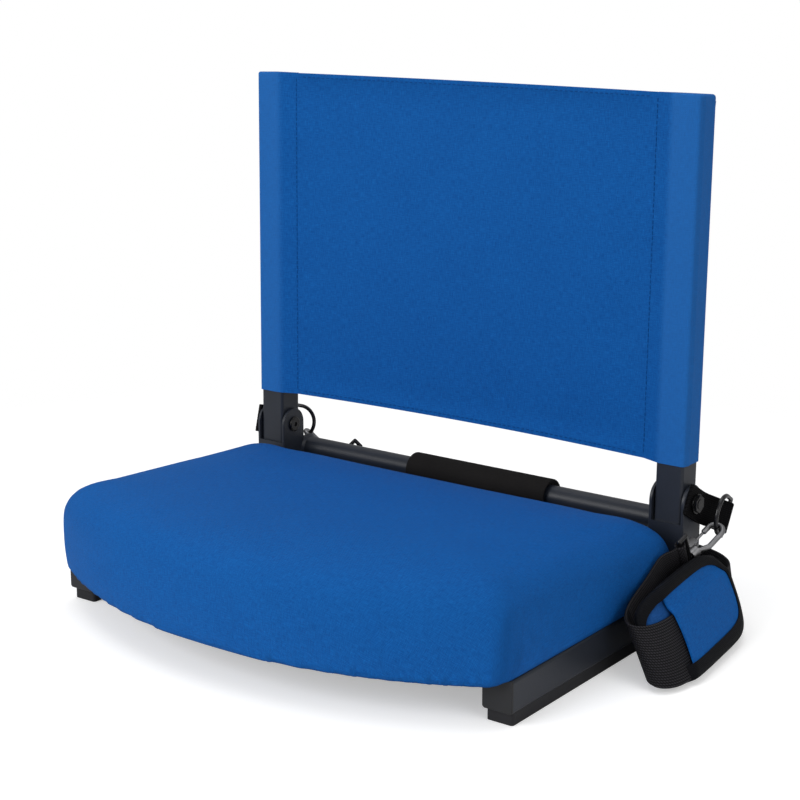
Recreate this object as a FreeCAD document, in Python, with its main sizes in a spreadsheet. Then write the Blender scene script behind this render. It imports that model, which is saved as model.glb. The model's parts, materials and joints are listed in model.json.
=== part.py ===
"""Portable stadium seat: a padded seat on two steel rails, with a folding sling back and a carry strap.

Millimetres. X is across the seat, +Y points to the back, +Z is up. The origin is on the floor, under the
middle of the seat's own box (the carry strap is left out of that box).
"""
import FreeCAD
import Part
import Sketcher
import math
import os
import re

doc = FreeCAD.newDocument("stadium_seat")
V = FreeCAD.Vector

# Driving sizes

SIZES = (
    ("overall_width", 437, "cushion, side to side"),
    ("overall_depth", 362, "front of the cushion to the back of the carry grip"),
    ("back_height", 415.6, "floor to the top of the sling"),
    ("rail_inset", 14, "middle of a rail inward of the cushion's side"),
    ("rail_width", 25, "rail tube, across and upright"),
    ("rail_wall", 1.5, "rail tube wall"),
    ("rail_rounding", 2.5, "outer corners of the rail tube"),
    ("rail_setback", 75, "rail front behind the cushion's front"),
    ("plug_flange", 2, "visible rim of a tube plug"),
    ("plug_depth", 16, "plug body inside its tube"),
    ("plug_slack", 0.2, "room round a plug body"),
    ("plug_web", 2, "wall of a plug body"),
    ("plug_rounding", 0.8, "soft edge of a plug's rim"),
    ("runner_width", 22, "rubber runner"),
    ("runner_height", 9.5, "rubber runner"),
    ("runner_groove", 3, "width of a runner's tread groove"),
    ("runner_setback", 1.5, "runner front behind the rail front"),
    ("runner_corner", 2.5, "corners of a runner in plan"),
    ("groove_end", 9, "end of a runner without grooves"),
    ("post_inset", 15.5, "middle of a back post inward of the cushion's side"),
    ("post_width", 24, "back post tube, across"),
    ("post_depth", 24, "back post tube, front to back"),
    ("post_wall", 1.5, "back post wall"),
    ("post_rounding", 2.5, "outer corners of the post tube"),
    ("post_tail", 22, "post below the pivot"),
    ("back_lean", 0.8, "backward lean of the posts, degrees"),
    ("pivot_height", 99.5, "floor to the pivot axis"),
    ("pivot_diameter", 8, "pivot bolt"),
    ("pivot_head_height", 2.2, "pivot bolt head"),
    ("pivot_head_rounding", 1.2, "dome of the pivot bolt head"),
    ("pivot_end", 4, "pivot bolt beyond the tab"),
    ("nut_flange", 1.4, "flange under the pivot nut"),
    ("nut_height", 2, "low pivot nut on its flange"),
    ("nut_room", 0.2, "pivot nut to the tab"),
    ("pivot_fit", 0.05, "radial running room in the bush"),
    ("bush_wall", 1.6, "bush in the post"),
    ("side_room", 1, "room between a post and each ear"),
    ("washer_diameter", 18, "washer beside the post"),
    ("washer_room", 0.1, "room at each face of a washer"),
    ("plate", 2.5, "bracket steel"),
    ("ear_rounding", 0.8, "soft edge of an ear's outer face"),
    ("stop_height", 49.5, "front stop of the bracket above the rail"),
    ("stop_room", 0.5, "stop to the post's foot"),
    ("stop_wall", 1.75, "front stop of the bracket, front to back"),
    ("tube_diameter", 19, "cross tube"),
    ("tube_wall", 1.5, "cross tube"),
    ("tube_height", 73.5, "floor to the cross tube axis"),
    ("tube_setback", 21.5, "cross tube behind the pivot"),
    ("tube_lobe", 2.5, "ear steel round the tube's end"),
    ("weld_bead", 2, "weld round the tube's end"),
    ("grip_wall", 5, "foam grip"),
    ("grip_length", 145, "foam grip"),
    ("grip_rounding", 2.5, "end rounding of the grip"),
    ("cushion_gap", 18, "back of the cushion to the pivot axis"),
    ("cushion_front_radius", 394, "bow of the cushion's front"),
    ("cushion_front_corner", 12, "front corners in plan"),
    ("cushion_rear_corner", 15, "rear corners in plan"),
    ("cushion_front_height", 71, "cushion thickness at its front"),
    ("cushion_rear_height", 56, "cushion thickness at its back"),
    ("cushion_edge_radius", 30, "rolled top edge"),
    ("cushion_side_height", 14, "widest place above the board"),
    ("cushion_draw_in", 2.5, "sides drawn in at the bottom"),
    ("cushion_crown", 4, "swell of the top"),
    ("crown_inset", 95, "where the crown levels out"),
    ("cover_thickness", 1, "canvas cover"),
    ("soft_room", 0.3, "room between cover, foam and board"),
    ("board_room", 0.4, "more room round the board's edge"),
    ("board_thickness", 9, "plywood board"),
    ("hem_width", 28, "cover hem under the board"),
    ("cloth_thickness", 0.6, "cloth under the board"),
    ("staple_width", 10, "staple crown"),
    ("staple_wire", 0.8, "staple"),
    ("screw_diameter", 4.8, "board and runner screws"),
    ("screw_head", 9, "screw head diameter"),
    ("screw_head_height", 3, "screw head"),
    ("screw_room", 0.1, "radial room round a screw"),
    ("screw_access", 11, "hole for the driver in the rail's underside"),
    ("screw_bite", 8, "screw inside the board"),
    ("screw_tip", 0.4, "radius at a screw's point"),
    ("board_screw_front", 42, "front board screws behind the rail's front"),
    ("board_screw_rear", 24, "rear board screws before the cushion's back"),
    ("runner_screw_place", 8, "runner screws from the plugs and from the middle"),
    ("runner_screw_grip", 6, "runner screw inside the rail"),
    ("rivet_diameter", 5, "bracket rivets"),
    ("rivet_head", 9, "bracket rivet head"),
    ("rivet_head_height", 2, "bracket rivet head"),
    ("rivet_tail", 3, "rivet inside the rail"),
    ("rivet_front", 4, "front rivets before the pivot axis"),
    ("rivet_clear", 2, "rear rivets from the plugs"),
    ("sling_thickness", 0.8, "sling canvas"),
    ("sling_room", 0.3, "pocket to post"),
    ("sling_bottom", 130.4, "floor to the sling's lower edge"),
    ("seam_inset", 16, "pocket seam inward of the post"),
    ("seam_width", 4, "sewn width of a pocket seam"),
    ("seam_recess", 6, "pocket seam behind the post's front"),
    ("sling_bow", 9, "backward bow of the panel"),
    ("tab_width", 25, "webbing tab on the ear"),
    ("tab_thickness", 3, "two layers of tab webbing"),
    ("tab_root", 12, "tab in front of the pivot bolt"),
    ("tab_bend", 14, "pivot bolt to the tab's bend"),
    ("ring_room", 0.75, "D-ring's bar behind the ear"),
    ("tab_droop_right", 29.4, "right tab below level, degrees"),
    ("tab_droop_left", 15, "left tab below level, degrees"),
    ("tab_flare_right", 30, "right tab away from the ear, degrees"),
    ("tab_flare_left", 5, "left tab away from the ear, degrees"),
    ("ring_wire", 3.5, "D-ring wire"),
    ("ring_half", 15.25, "D-ring, middle to the side wire"),
    ("ring_depth", 25, "D-ring, bar to bow"),
    ("ring_swing_right", 172, "right ring, folded over its tab, degrees"),
    ("ring_swing_left", -74, "left ring, drawn inward, degrees"),
    ("ring_slip_right", -62, "where the right hook hangs on its ring, degrees"),
    ("ring_slip_left", -38, "where the left hook hangs on its ring, degrees"),
    ("hook_yaw_right", 16.4, "right hook out of its ring's plane, degrees"),
    ("hook_yaw_left", 18, "left hook out of its ring's plane, degrees"),
    ("hook_length", 42, "eye bar to the ring in the hook"),
    ("hook_wire", 4.4, "hook rod"),
    ("hook_bend", 6.2, "hook bend, middle of the rod"),
    ("hook_tip", 5, "straight tip of the hook"),
    ("hook_room", 0.3, "room round the hook's small pieces"),
    ("barrel_start", 9.8, "eye bar to the swivel barrel"),
    ("barrel_length", 7, "swivel barrel"),
    ("barrel_radius", 4.6, "swivel barrel"),
    ("stem_radius", 2.2, "swivel stem"),
    ("stem_head", 3.2, "radius of the stem's head"),
    ("stem_head_length", 3, "length of the stem's head"),
    ("barrel_floor", 2, "barrel beyond the stem's head"),
    ("neck_run", 8, "slant of the hook from the barrel to its shank"),
    ("eye_wire", 3.6, "strap eye wire"),
    ("eye_depth", 7.5, "strap eye, bar to bar"),
    ("eye_half", 26.5, "strap eye, middle to the side wire"),
    ("gate_pivot", 21, "eye bar to the gate's pin"),
    ("gate_pin", 1.8, "gate pin"),
    ("gate_thickness", 2.6, "gate"),
    ("gate_rod", 2.2, "gate's rod"),
    ("gate_eye_wall", 1.5, "gate round its pin"),
    ("lug_end", 1, "cheek beyond the gate pin"),
    ("lug_thickness", 1.6, "each cheek beside the gate"),
    ("strap_width", 48, "strap webbing"),
    ("strap_thickness", 2, "strap webbing"),
    ("slider_length", 26, "strap slider along the webbing"),
    ("slider_bar", 3.6, "slider rim round the webbing"),
    ("slider_place", 545, "right eye to the slider, along the webbing"),
    ("pad_start", 123, "right eye to the shoulder pad, along the webbing"),
    ("pad_length", 146, "shoulder pad, end to end"),
    ("pad_height", 72.6, "shoulder pad, edge to edge"),
    ("pad_thickness", 9, "shoulder pad"),
    ("pad_lift", 9, "pad's middle above the webbing's"),
    ("pad_corner", 28, "corners of the pad"),
    ("flap_start", 157, "right eye to the keeper flap, along the webbing"),
    ("flap_length", 92, "keeper flap, end to end"),
    ("flap_rise", 17, "keeper flap above the webbing's upper edge"),
    ("flap_lip", 2.4, "keeper flap below the webbing's lower edge"),
    ("flap_thickness", 1.6, "keeper flap"),
    ("layer_room", 0.4, "room between strap, pad and flap"),
    ("overcut", 1, "how far a cutting shape passes the face it opens"),
)

# Places worked out from those sizes

PLACES = {
    "front_y": "-overall_depth / 2",
    "tube_y": "overall_depth / 2 - grip_wall - tube_diameter / 2",
    "pivot_y": "tube_y - tube_setback",
    "rail_x": "overall_width / 2 - rail_inset",
    "rail_front": "front_y + rail_setback",
    "rail_rear": "overall_depth / 2 - plug_flange",
    "rail_bottom": "runner_height",
    "rail_top": "runner_height + rail_width",
    "post_x": "overall_width / 2 - post_inset",
    "ear_gap": "post_width + 2 * side_room",
    "ear_radius": "post_depth / 2 + stop_room + stop_wall",
    "bracket_width": "ear_gap + 2 * plate",
    "lobe_radius": "tube_diameter / 2 + tube_lobe",
    "tab_reach": "tube_setback + lobe_radius + ring_wire / 2 + ring_room",
    "stop_face": "pivot_y - post_depth / 2 - stop_room",
    "inner_ear_x": "post_x - bracket_width / 2",
    "outer_ear_x": "post_x + bracket_width / 2",
    "bush_radius": "pivot_diameter / 2 + pivot_fit + bush_wall",
    "post_top": "back_height - sling_thickness - sling_room - plug_flange",
    "cushion_half_width": "overall_width / 2",
    "cushion_rear": "pivot_y - cushion_gap",
    "cushion_depth": "cushion_rear - front_y",
    "foot_plug_depth": "post_tail - bush_radius - overcut",
    "board_bottom": "rail_top + cover_thickness",
    "board_top": "board_bottom + board_thickness",
}

sheet = doc.addObject("Spreadsheet::Sheet", "Sizes")
for row, (alias, number, meaning) in enumerate(SIZES, start=1):
    sheet.set(f"A{row}", meaning)
    sheet.set(f"B{row}", str(number))
    sheet.setAlias(f"B{row}", alias)
doc.recompute()

ALIASES = {alias for alias, number, meaning in SIZES}


def formula(text):
    """An expression on the sheet's cells, from size and place names."""
    def swap(match):
        word = match.group(0)
        if word in PLACES:
            return "(" + formula(PLACES[word]) + ")"
        return "Sizes." + word if word in ALIASES else word
    return re.sub(r"[a-z][a-z_]+", swap, str(text))


def size(text):
    """The number that a size, a place or a sum of them comes to."""
    return float(sheet.evalExpression(formula(text)))


def bind(obj, prop, text):
    obj.setExpression(prop, formula(text))


def place(obj, x="0", y="0", z="0"):
    bind(obj, "Placement.Base.x", x)
    bind(obj, "Placement.Base.y", y)
    bind(obj, "Placement.Base.z", z)


# Part primitives and booleans bound to the sheet

def box(name, length, width, height, x, y, z):
    """A block given by its sizes along X, Y, Z and its lowest corner."""
    obj = doc.addObject("Part::Box", name)
    bind(obj, "Length", length)
    bind(obj, "Width", width)
    bind(obj, "Height", height)
    place(obj, x, y, z)
    return obj


TURNS = {
    "x": FreeCAD.Rotation(V(0, 1, 0), 90),
    "y": FreeCAD.Rotation(V(1, 0, 0), -90),
    "z": FreeCAD.Rotation(),
}


def cylinder(name, radius, height, x, y, z, axis="z"):
    """A cylinder that starts at a point and runs along +X, +Y or +Z."""
    obj = doc.addObject("Part::Cylinder", name)
    bind(obj, "Radius", radius)
    bind(obj, "Height", height)
    obj.Placement = FreeCAD.Placement(V(), TURNS[axis])
    place(obj, x, y, z)
    return obj


def cone(name, radius_low, radius_high, height, x, y, z):
    obj = doc.addObject("Part::Cone", name)
    bind(obj, "Radius1", radius_low)
    bind(obj, "Radius2", radius_high)
    bind(obj, "Height", height)
    place(obj, x, y, z)
    return obj


def fuse(name, pieces):
    obj = doc.addObject("Part::MultiFuse", name)
    obj.Shapes = pieces
    obj.Refine = True
    return obj


def cut(name, base, tools):
    tool = tools[0] if len(tools) == 1 else fuse(name + "_tools", tools)
    obj = doc.addObject("Part::Cut", name)
    obj.Base = base
    obj.Tool = tool
    obj.Refine = True
    return obj


def group(name, pieces):
    obj = doc.addObject("Part::Compound", name)
    obj.Links = pieces
    return obj


def mirrored(name, source):
    obj = doc.addObject("Part::Mirroring", name)
    obj.Source = source
    obj.Normal = V(1, 0, 0)
    return obj


def rounded(name, base, radius, chosen):
    """A fillet on the edges whose middle point the test picks."""
    doc.recompute()
    edges = [index for index, edge in enumerate(base.Shape.Edges, start=1)
             if chosen(edge.valueAt((edge.FirstParameter + edge.LastParameter) / 2), edge)]
    obj = doc.addObject("Part::Fillet", name)
    obj.Base = base
    obj.Edges = [(index, size(radius), size(radius)) for index in edges]
    return obj


# Sketches bound to the sheet

def sketch(body, name, role, offset="0"):
    """A sketch on one of its body's own planes, moved along that plane's normal."""
    obj = body.newObject("Sketcher::SketchObject", name)
    plane = next(item for item in body.Origin.OriginFeatures if item.Role == role)
    obj.AttachmentSupport = (plane, [""])
    obj.MapMode = "FlatFace"
    bind(obj, "AttachmentOffset.Base.z", offset)
    return obj


def fix(obj, kind, geometry, point, text):
    """One coordinate of a sketch point, measured from the sketch's origin."""
    index = obj.addConstraint(Sketcher.Constraint(kind, -1, 1, geometry, point, size(text)))
    name = f"c{index}"
    obj.renameConstraint(index, name)
    bind(obj, "Constraints." + name, text)


def radius_of(obj, geometry, text):
    index = obj.addConstraint(Sketcher.Constraint("Radius", geometry, size(text)))
    name = f"r{index}"
    obj.renameConstraint(index, name)
    bind(obj, "Constraints." + name, text)


def polygon(obj, corners):
    """A closed outline of straight lines, each corner given as two sums of sizes."""
    points = [V(size(x), size(y), 0) for x, y in corners]
    count = len(points)
    first = obj.GeometryCount
    for index in range(count):
        obj.addGeometry(Part.LineSegment(points[index], points[(index + 1) % count]))
    for index in range(count):
        follower = first + (index + 1) % count
        obj.addConstraint(Sketcher.Constraint("Coincident", first + index, 2, follower, 1))
    for index, (x, y) in enumerate(corners):
        fix(obj, "DistanceX", first + index, 1, x)
        fix(obj, "DistanceY", first + index, 1, y)


def rectangle(obj, left, right, bottom, top):
    polygon(obj, ((left, bottom), (right, bottom), (right, top), (left, top)))


def circle(obj, x, y, radius):
    index = obj.addGeometry(Part.Circle(V(size(x), size(y), 0), V(0, 0, 1), size(radius)))
    fix(obj, "DistanceX", index, 3, x)
    fix(obj, "DistanceY", index, 3, y)
    radius_of(obj, index, radius)


def pad(body, profile, length, reverse=False):
    obj = body.newObject("PartDesign::Pad", profile.Name + "_pad")
    obj.Profile = profile
    bind(obj, "Length", length)
    obj.Reversed = reverse
    profile.Visibility = False
    doc.recompute()
    return obj


def pocket(body, profile, length, reverse=False):
    before = body.Shape.Volume
    obj = body.newObject("PartDesign::Pocket", profile.Name + "_pocket")
    obj.Profile = profile
    bind(obj, "Length", length)
    obj.Reversed = reverse
    doc.recompute()
    if body.Shape.Volume >= before - 1e-6:
        raise RuntimeError(f"{profile.Name} cuts nothing")
    return obj


def soften(body, name, radius, chosen):
    """A fillet inside a body, on the edges whose middle point the test picks."""
    tip = body.Tip
    edges = [f"Edge{index}" for index, edge in enumerate(tip.Shape.Edges, start=1)
             if chosen(edge.valueAt((edge.FirstParameter + edge.LastParameter) / 2))]
    obj = body.newObject("PartDesign::Fillet", name)
    obj.Base = (tip, edges)
    bind(obj, "Radius", radius)
    doc.recompute()
    return obj


parts = {}


def keep(name, obj):
    """A finished sub-part, with the name that its file gets."""
    obj.Label = name
    parts[name] = obj
    return obj


def keep_pair(name, right):
    """A right-hand sub-part and its mirror image on the left."""
    keep(name + "_right", right)
    keep(name + "_left", mirrored(name + "_left", right))


# Rails: square tube, with the board screws' holes in the top wall and driver holes below them

SCREW_PLACES = ("rail_front + board_screw_front", "(rail_front + cushion_rear) / 2",
                "cushion_rear - board_screw_rear")
RUNNER_SCREW_PLACES = ("rail_front + plug_depth + runner_screw_place",
                       "(rail_front + rail_rear) / 2 + runner_screw_place",
                       "rail_rear - plug_depth - runner_screw_place")
RIVET_PLACES = ("pivot_y - rivet_front", "rail_rear - plug_depth - rivet_head / 2 - rivet_clear")


def make_rail():
    body = doc.addObject("PartDesign::Body", "rail")
    wall = sketch(body, "rail_section", "XZ_Plane", "-rail_front")
    rectangle(wall, "rail_x - rail_width / 2", "rail_x + rail_width / 2", "rail_bottom", "rail_top")
    rectangle(wall, "rail_x - rail_width / 2 + rail_wall", "rail_x + rail_width / 2 - rail_wall",
              "rail_bottom + rail_wall", "rail_top - rail_wall")
    pad(body, wall, "rail_rear - rail_front", reverse=True)
    half = size("rail_width") / 2
    centre = V(size("rail_x"), 0, size("(rail_bottom + rail_top) / 2"))
    soften(body, "rail_corners", "rail_rounding",
           lambda point: abs(abs(point.x - centre.x) - half) < 1e-3
           and abs(abs(point.z - centre.z) - half) < 1e-3)
    top = sketch(body, "rail_top_holes", "XY_Plane", "rail_top")
    for y in SCREW_PLACES:
        circle(top, "rail_x", y, "screw_diameter / 2 + screw_room")
    for y in RIVET_PLACES:
        circle(top, "rail_x", y, "rivet_diameter / 2")
    pocket(body, top, "2 * rail_wall")
    under = sketch(body, "rail_under_holes", "XY_Plane", "rail_bottom")
    for y in SCREW_PLACES:
        circle(under, "rail_x", y, "screw_access / 2")
    for y in RUNNER_SCREW_PLACES:
        circle(under, "rail_x", y, "screw_diameter / 2 + screw_room")
    pocket(body, under, "2 * rail_wall", reverse=True)
    return body


keep_pair("rail", make_rail())


# Plugs: a rim as large as the tube and a ribbed body inside it

def make_plug(name, across, deep, wall, corner, depth, turned):
    """A tube plug with its rim's inner face at the origin, its body along +Z or -Z."""
    rim = box(name + "_rim", across, deep, "plug_flange", f"-({across}) / 2", f"-({deep}) / 2", "0")
    slack = f"({wall}) + plug_slack"
    body = box(name + "_body", f"{across} - 2 * ({slack})", f"{deep} - 2 * ({slack})", depth,
               f"-({across}) / 2 + {slack}", f"-({deep}) / 2 + {slack}", f"-({depth})")
    web = f"({slack} + plug_web)"
    hollow = box(name + "_hollow", f"{across} - 2 * {web}", f"{deep} - 2 * {web}", depth,
                 f"-({across}) / 2 + {web}", f"-({deep}) / 2 + {web}", f"-({depth}) - plug_web")
    whole = cut(name, fuse(name + "_block", [rim, body]), [hollow])
    half_across = size(across) / 2
    half_deep = size(deep) / 2
    corners = rounded(name + "_corners", whole, corner,
                      lambda point, item: abs(abs(point.x) - half_across) < 1e-3
                      and abs(abs(point.y) - half_deep) < 1e-3)
    edge = rounded(name + "_soft", corners, "plug_rounding",
                   lambda point, item: point.z > size("plug_flange") - 1e-3)
    edge.Placement = FreeCAD.Placement(V(), turned)
    return edge


for end, y, turned in (("front", "rail_front", TURNS["y"].inverted()), ("rear", "rail_rear", TURNS["y"])):
    plug = make_plug("rail_plug_" + end, "rail_width", "rail_width", "rail_wall", "rail_rounding",
                     "plug_depth", turned)
    place(plug, "rail_x", y, "(rail_bottom + rail_top) / 2")
    keep_pair("rail_plug_" + end, plug)


# Runners: rubber strips with two tread grooves, screwed up into the rails

def make_runner():
    body = doc.addObject("PartDesign::Body", "runner")
    section = sketch(body, "runner_section", "XZ_Plane", "-(rail_front + runner_setback)")
    rectangle(section, "rail_x - runner_width / 2", "rail_x + runner_width / 2", "0", "runner_height")
    pad(body, section, "rail_rear - rail_front - 2 * runner_setback", reverse=True)
    half = size("runner_width / 2")
    middle = size("rail_x")
    ends = (size("rail_front + runner_setback"), size("rail_rear - runner_setback"))
    soften(body, "runner_corners", "runner_corner",
           lambda point: abs(abs(point.x - middle) - half) < 1e-3
           and min(abs(point.y - end) for end in ends) < 1e-3)
    tread = sketch(body, "runner_grooves", "XY_Plane", "0")
    for offset in ("- runner_width / 4", "+ runner_width / 4"):
        rectangle(tread, f"rail_x {offset} - runner_groove / 2", f"rail_x {offset} + runner_groove / 2",
                  "rail_front + runner_setback + groove_end", "rail_rear - runner_setback - groove_end")
    pocket(body, tread, "runner_groove / 2", reverse=True)
    sink = sketch(body, "runner_head_holes", "XY_Plane", "0")
    for y in RUNNER_SCREW_PLACES:
        circle(sink, "rail_x", y, "screw_head / 2 + screw_room")
    pocket(body, sink, "runner_height / 2", reverse=True)
    shank = sketch(body, "runner_shank_holes", "XY_Plane", "0")
    for y in RUNNER_SCREW_PLACES:
        circle(shank, "rail_x", y, "screw_diameter / 2 + screw_room")
    pocket(body, shank, "runner_height + overcut", reverse=True)
    return body


keep_pair("runner", make_runner())


# Screws: round heads with a shank and a point, in groups

def make_screw(name, x, y, seat, length):
    """A screw that points up, its head's upper face at the height called seat."""
    head = cylinder(name + "_head", "screw_head / 2", "screw_head_height", x, y,
                    f"{seat} - screw_head_height")
    shank = cylinder(name + "_shank", "screw_diameter / 2", f"{length} - screw_diameter", x, y, seat)
    point = cone(name + "_point", "screw_diameter / 2", "screw_tip", "screw_diameter", x, y,
                 f"{seat} + {length} - screw_diameter")
    return fuse(name, [head, shank, point])


screws = []
runner_screws = []
for side, x in (("right", "rail_x"), ("left", "-rail_x")):
    for number, y in enumerate(SCREW_PLACES):
        screws.append(make_screw(f"board_screw_{side}_{number}", x, y, "rail_top - rail_wall",
                                 "rail_wall + cover_thickness + screw_bite"))
    for number, y in enumerate(RUNNER_SCREW_PLACES):
        runner_screws.append(make_screw(f"runner_screw_{side}_{number}", x, y, "runner_height / 2",
                                        "runner_height / 2 + rail_wall + runner_screw_grip"))
keep("board_screws", group("board_screws", screws))
keep("runner_screws", group("runner_screws", runner_screws))


# Hinge brackets: bent steel with two round-topped ears, a front stop and an inner lobe for the cross tube

def make_bracket():
    ear_front = "pivot_y - ear_radius"
    left = "post_x - bracket_width / 2"
    upright = box("bracket_upright", "bracket_width", "2 * ear_radius", "pivot_height - rail_top",
                  left, ear_front, "rail_top")
    crown = cylinder("bracket_crown", "ear_radius", "bracket_width", left, "pivot_y", "pivot_height", "x")
    foot = box("bracket_foot", "plate", "tube_y + lobe_radius - pivot_y", "tube_height - rail_top",
               left, "pivot_y", "rail_top")
    lobe = cylinder("bracket_lobe", "lobe_radius", "plate", left, "tube_y", "tube_height", "x")
    base = box("bracket_base", "bracket_width", "tube_y + lobe_radius - pivot_y", "plate",
               left, "pivot_y", "rail_top")
    block = fuse("bracket_block", [upright, crown, foot, lobe, base])
    inside = "post_x - ear_gap / 2"
    space = box("bracket_space", "ear_gap", "overall_depth", "back_height",
                inside, "stop_face", "rail_top + plate")
    above_stop = box("bracket_above_stop", "ear_gap", "2 * ear_radius", "back_height",
                     inside, f"{ear_front} - overcut", "rail_top + stop_height")
    pivot_hole = cylinder("bracket_pivot_hole", "pivot_diameter / 2 + pivot_fit",
                          "bracket_width + 2 * overcut", f"{left} - overcut", "pivot_y", "pivot_height", "x")
    tools = [space, above_stop, pivot_hole]
    for number, y in enumerate(RIVET_PLACES):
        tools.append(cylinder(f"bracket_rivet_hole_{number}", "rivet_diameter / 2", "3 * plate",
                              "rail_x", y, "rail_top - plate"))
    bare = cut("bracket_bare", block, tools)
    low = size("rail_top")
    sides = (size("inner_ear_x"), size("outer_ear_x"))
    hole = size("pivot_diameter / 2 + pivot_fit")

    def on_side(point):
        return min(abs(point.x - x) for x in sides) < 1e-3

    bent = rounded("bracket_bent", bare, "plate * 0.9",
                   lambda point, edge: abs(point.z - low) < 1e-3 and on_side(point))
    return rounded("bracket", bent, "ear_rounding",
                   lambda point, edge: on_side(point) and point.z > size("rail_top + plate")
                   and abs(getattr(edge.Curve, "Radius", 0) - hole) > 1e-3)


keep_pair("hinge_bracket", make_bracket())

rivets = []
for side, x in (("right", "rail_x"), ("left", "-rail_x")):
    for number, y in enumerate(RIVET_PLACES):
        name = f"bracket_rivet_{side}_{number}"
        shank = cylinder(name + "_shank", "rivet_diameter / 2", "plate + rail_wall + rivet_tail", x, y,
                         "rail_top - rail_wall - rivet_tail")
        upper = cone(name + "_upper", "rivet_head / 2", "rivet_head / 3", "rivet_head_height", x, y,
                     "rail_top + plate")
        lower = cone(name + "_lower", "rivet_head / 3", "0.45 * rivet_head", "rivet_head_height", x, y,
                     "rail_top - rail_wall - rivet_head_height")
        rivets.append(fuse(name, [shank, upper, lower]))
keep("bracket_rivets", group("bracket_rivets", rivets))


# Cross tube with its weld beads, and the foam grip on it

def make_tube():
    body = doc.addObject("PartDesign::Body", "cross_tube")
    section = sketch(body, "tube_section", "XY_Plane", "tube_height")
    outer = "tube_y + tube_diameter / 2"
    inner = "tube_y + tube_diameter / 2 - tube_wall"
    end = "inner_ear_x"
    polygon(section, (
        (f"-({end})", inner),
        (end, inner),
        (end, f"{outer} + weld_bead"),
        (f"{end} - weld_bead", outer),
        (f"weld_bead - {end}", outer),
        (f"-({end})", f"{outer} + weld_bead"),
    ))
    axis = section.addGeometry(Part.LineSegment(V(-1, size("tube_y"), 0), V(1, size("tube_y"), 0)), True)
    section.addConstraint(Sketcher.Constraint("Horizontal", axis))
    fix(section, "DistanceY", axis, 1, "tube_y")
    turn = body.newObject("PartDesign::Revolution", "tube_turn")
    turn.Profile = section
    turn.ReferenceAxis = (section, ["Axis0"])
    turn.Angle = 360
    doc.recompute()
    return body


keep("cross_tube", make_tube())


def make_grip():
    start = "-grip_length / 2"
    skin = cylinder("grip_skin", "tube_diameter / 2 + grip_wall", "grip_length", start, "tube_y",
                    "tube_height", "x")
    bore = cylinder("grip_bore", "tube_diameter / 2", "grip_length + 2 * overcut", f"{start} - overcut",
                    "tube_y", "tube_height", "x")
    sleeve = cut("grip_sleeve", skin, [bore])
    outer = size("tube_diameter / 2 + grip_wall")
    return rounded("grip", sleeve, "grip_rounding",
                   lambda point, edge: abs(getattr(edge.Curve, "Radius", 0) - outer) < 1e-3)


keep("grip", make_grip())


# Back posts, leaning back about the pivot, with their plugs and bushes

def lean(obj):
    """Tips a sub-part of the backrest back about the pivot axis."""
    turn = FreeCAD.Rotation(V(1, 0, 0), -size("back_lean"))
    centre = V(0, size("pivot_y"), size("pivot_height"))
    obj.Placement = FreeCAD.Placement(V(), turn, centre).multiply(obj.Placement)
    return obj


def make_post():
    body = doc.addObject("PartDesign::Body", "post")
    wall = sketch(body, "post_section", "XY_Plane", "pivot_height - post_tail")
    for inset in ("0", "post_wall"):
        rectangle(wall, f"post_x - post_width / 2 + {inset}", f"post_x + post_width / 2 - {inset}",
                  f"pivot_y - post_depth / 2 + {inset}", f"pivot_y + post_depth / 2 - {inset}")
    pad(body, wall, "post_top - pivot_height + post_tail")
    half_width = size("post_width") / 2
    half_depth = size("post_depth") / 2
    soften(body, "post_corners", "post_rounding",
           lambda point: abs(abs(point.x - size("post_x")) - half_width) < 1e-3
           and abs(abs(point.y - size("pivot_y")) - half_depth) < 1e-3)
    hole = sketch(body, "post_pivot_hole", "YZ_Plane", "post_x + post_width")
    circle(hole, "pivot_y", "pivot_height", "bush_radius")
    pocket(body, hole, "2 * post_width")
    return lean(body)


keep_pair("back_post", make_post())

for end, z, depth, turned in (("top", "post_top", "plug_depth", TURNS["z"]),
                              ("bottom", "pivot_height - post_tail", "foot_plug_depth",
                               FreeCAD.Rotation(V(1, 0, 0), 180))):
    plug = make_plug("post_plug_" + end, "post_width", "post_depth", "post_wall", "post_rounding", depth,
                     turned)
    plug.Placement.Base = V(size("post_x"), size("pivot_y"), size(z))
    keep_pair("post_plug_" + end, lean(plug))

bush = cut("bush_sleeve",
           cylinder("bush_outer", "bush_radius", "post_width", "post_x - post_width / 2", "pivot_y",
                    "pivot_height", "x"),
           [cylinder("bush_bore", "pivot_diameter / 2 + pivot_fit", "post_width + 2 * overcut",
                     "post_x - post_width / 2 - overcut", "pivot_y", "pivot_height", "x")])
keep_pair("pivot_bush", bush)


# Pivot bolts, nuts and the washers that space the posts from the ears

def make_pivot_bolt():
    inner = "inner_ear_x"
    shank = cylinder("pivot_shank", "pivot_diameter / 2", "bracket_width + tab_thickness + pivot_end",
                     inner, "pivot_y", "pivot_height", "x")
    flange = cylinder("pivot_head", "0.85 * pivot_diameter", "pivot_head_height",
                      f"{inner} - pivot_head_height", "pivot_y", "pivot_height", "x")
    socket = cylinder("pivot_socket", "pivot_diameter / 4", "pivot_head_height",
                      f"{inner} - pivot_head_height - overcut", "pivot_y", "pivot_height", "x")
    whole = cut("pivot_bolt_bare", fuse("pivot_bolt_block", [shank, flange]), [socket])
    head_face = size("inner_ear_x - pivot_head_height")
    outline = size("0.85 * pivot_diameter")
    return rounded("pivot_bolt", whole, "pivot_head_rounding",
                   lambda point, edge: abs(point.x - head_face) < 1e-3
                   and abs(edge.Curve.Radius - outline) < 1e-3)


keep_pair("pivot_bolt", make_pivot_bolt())


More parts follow.
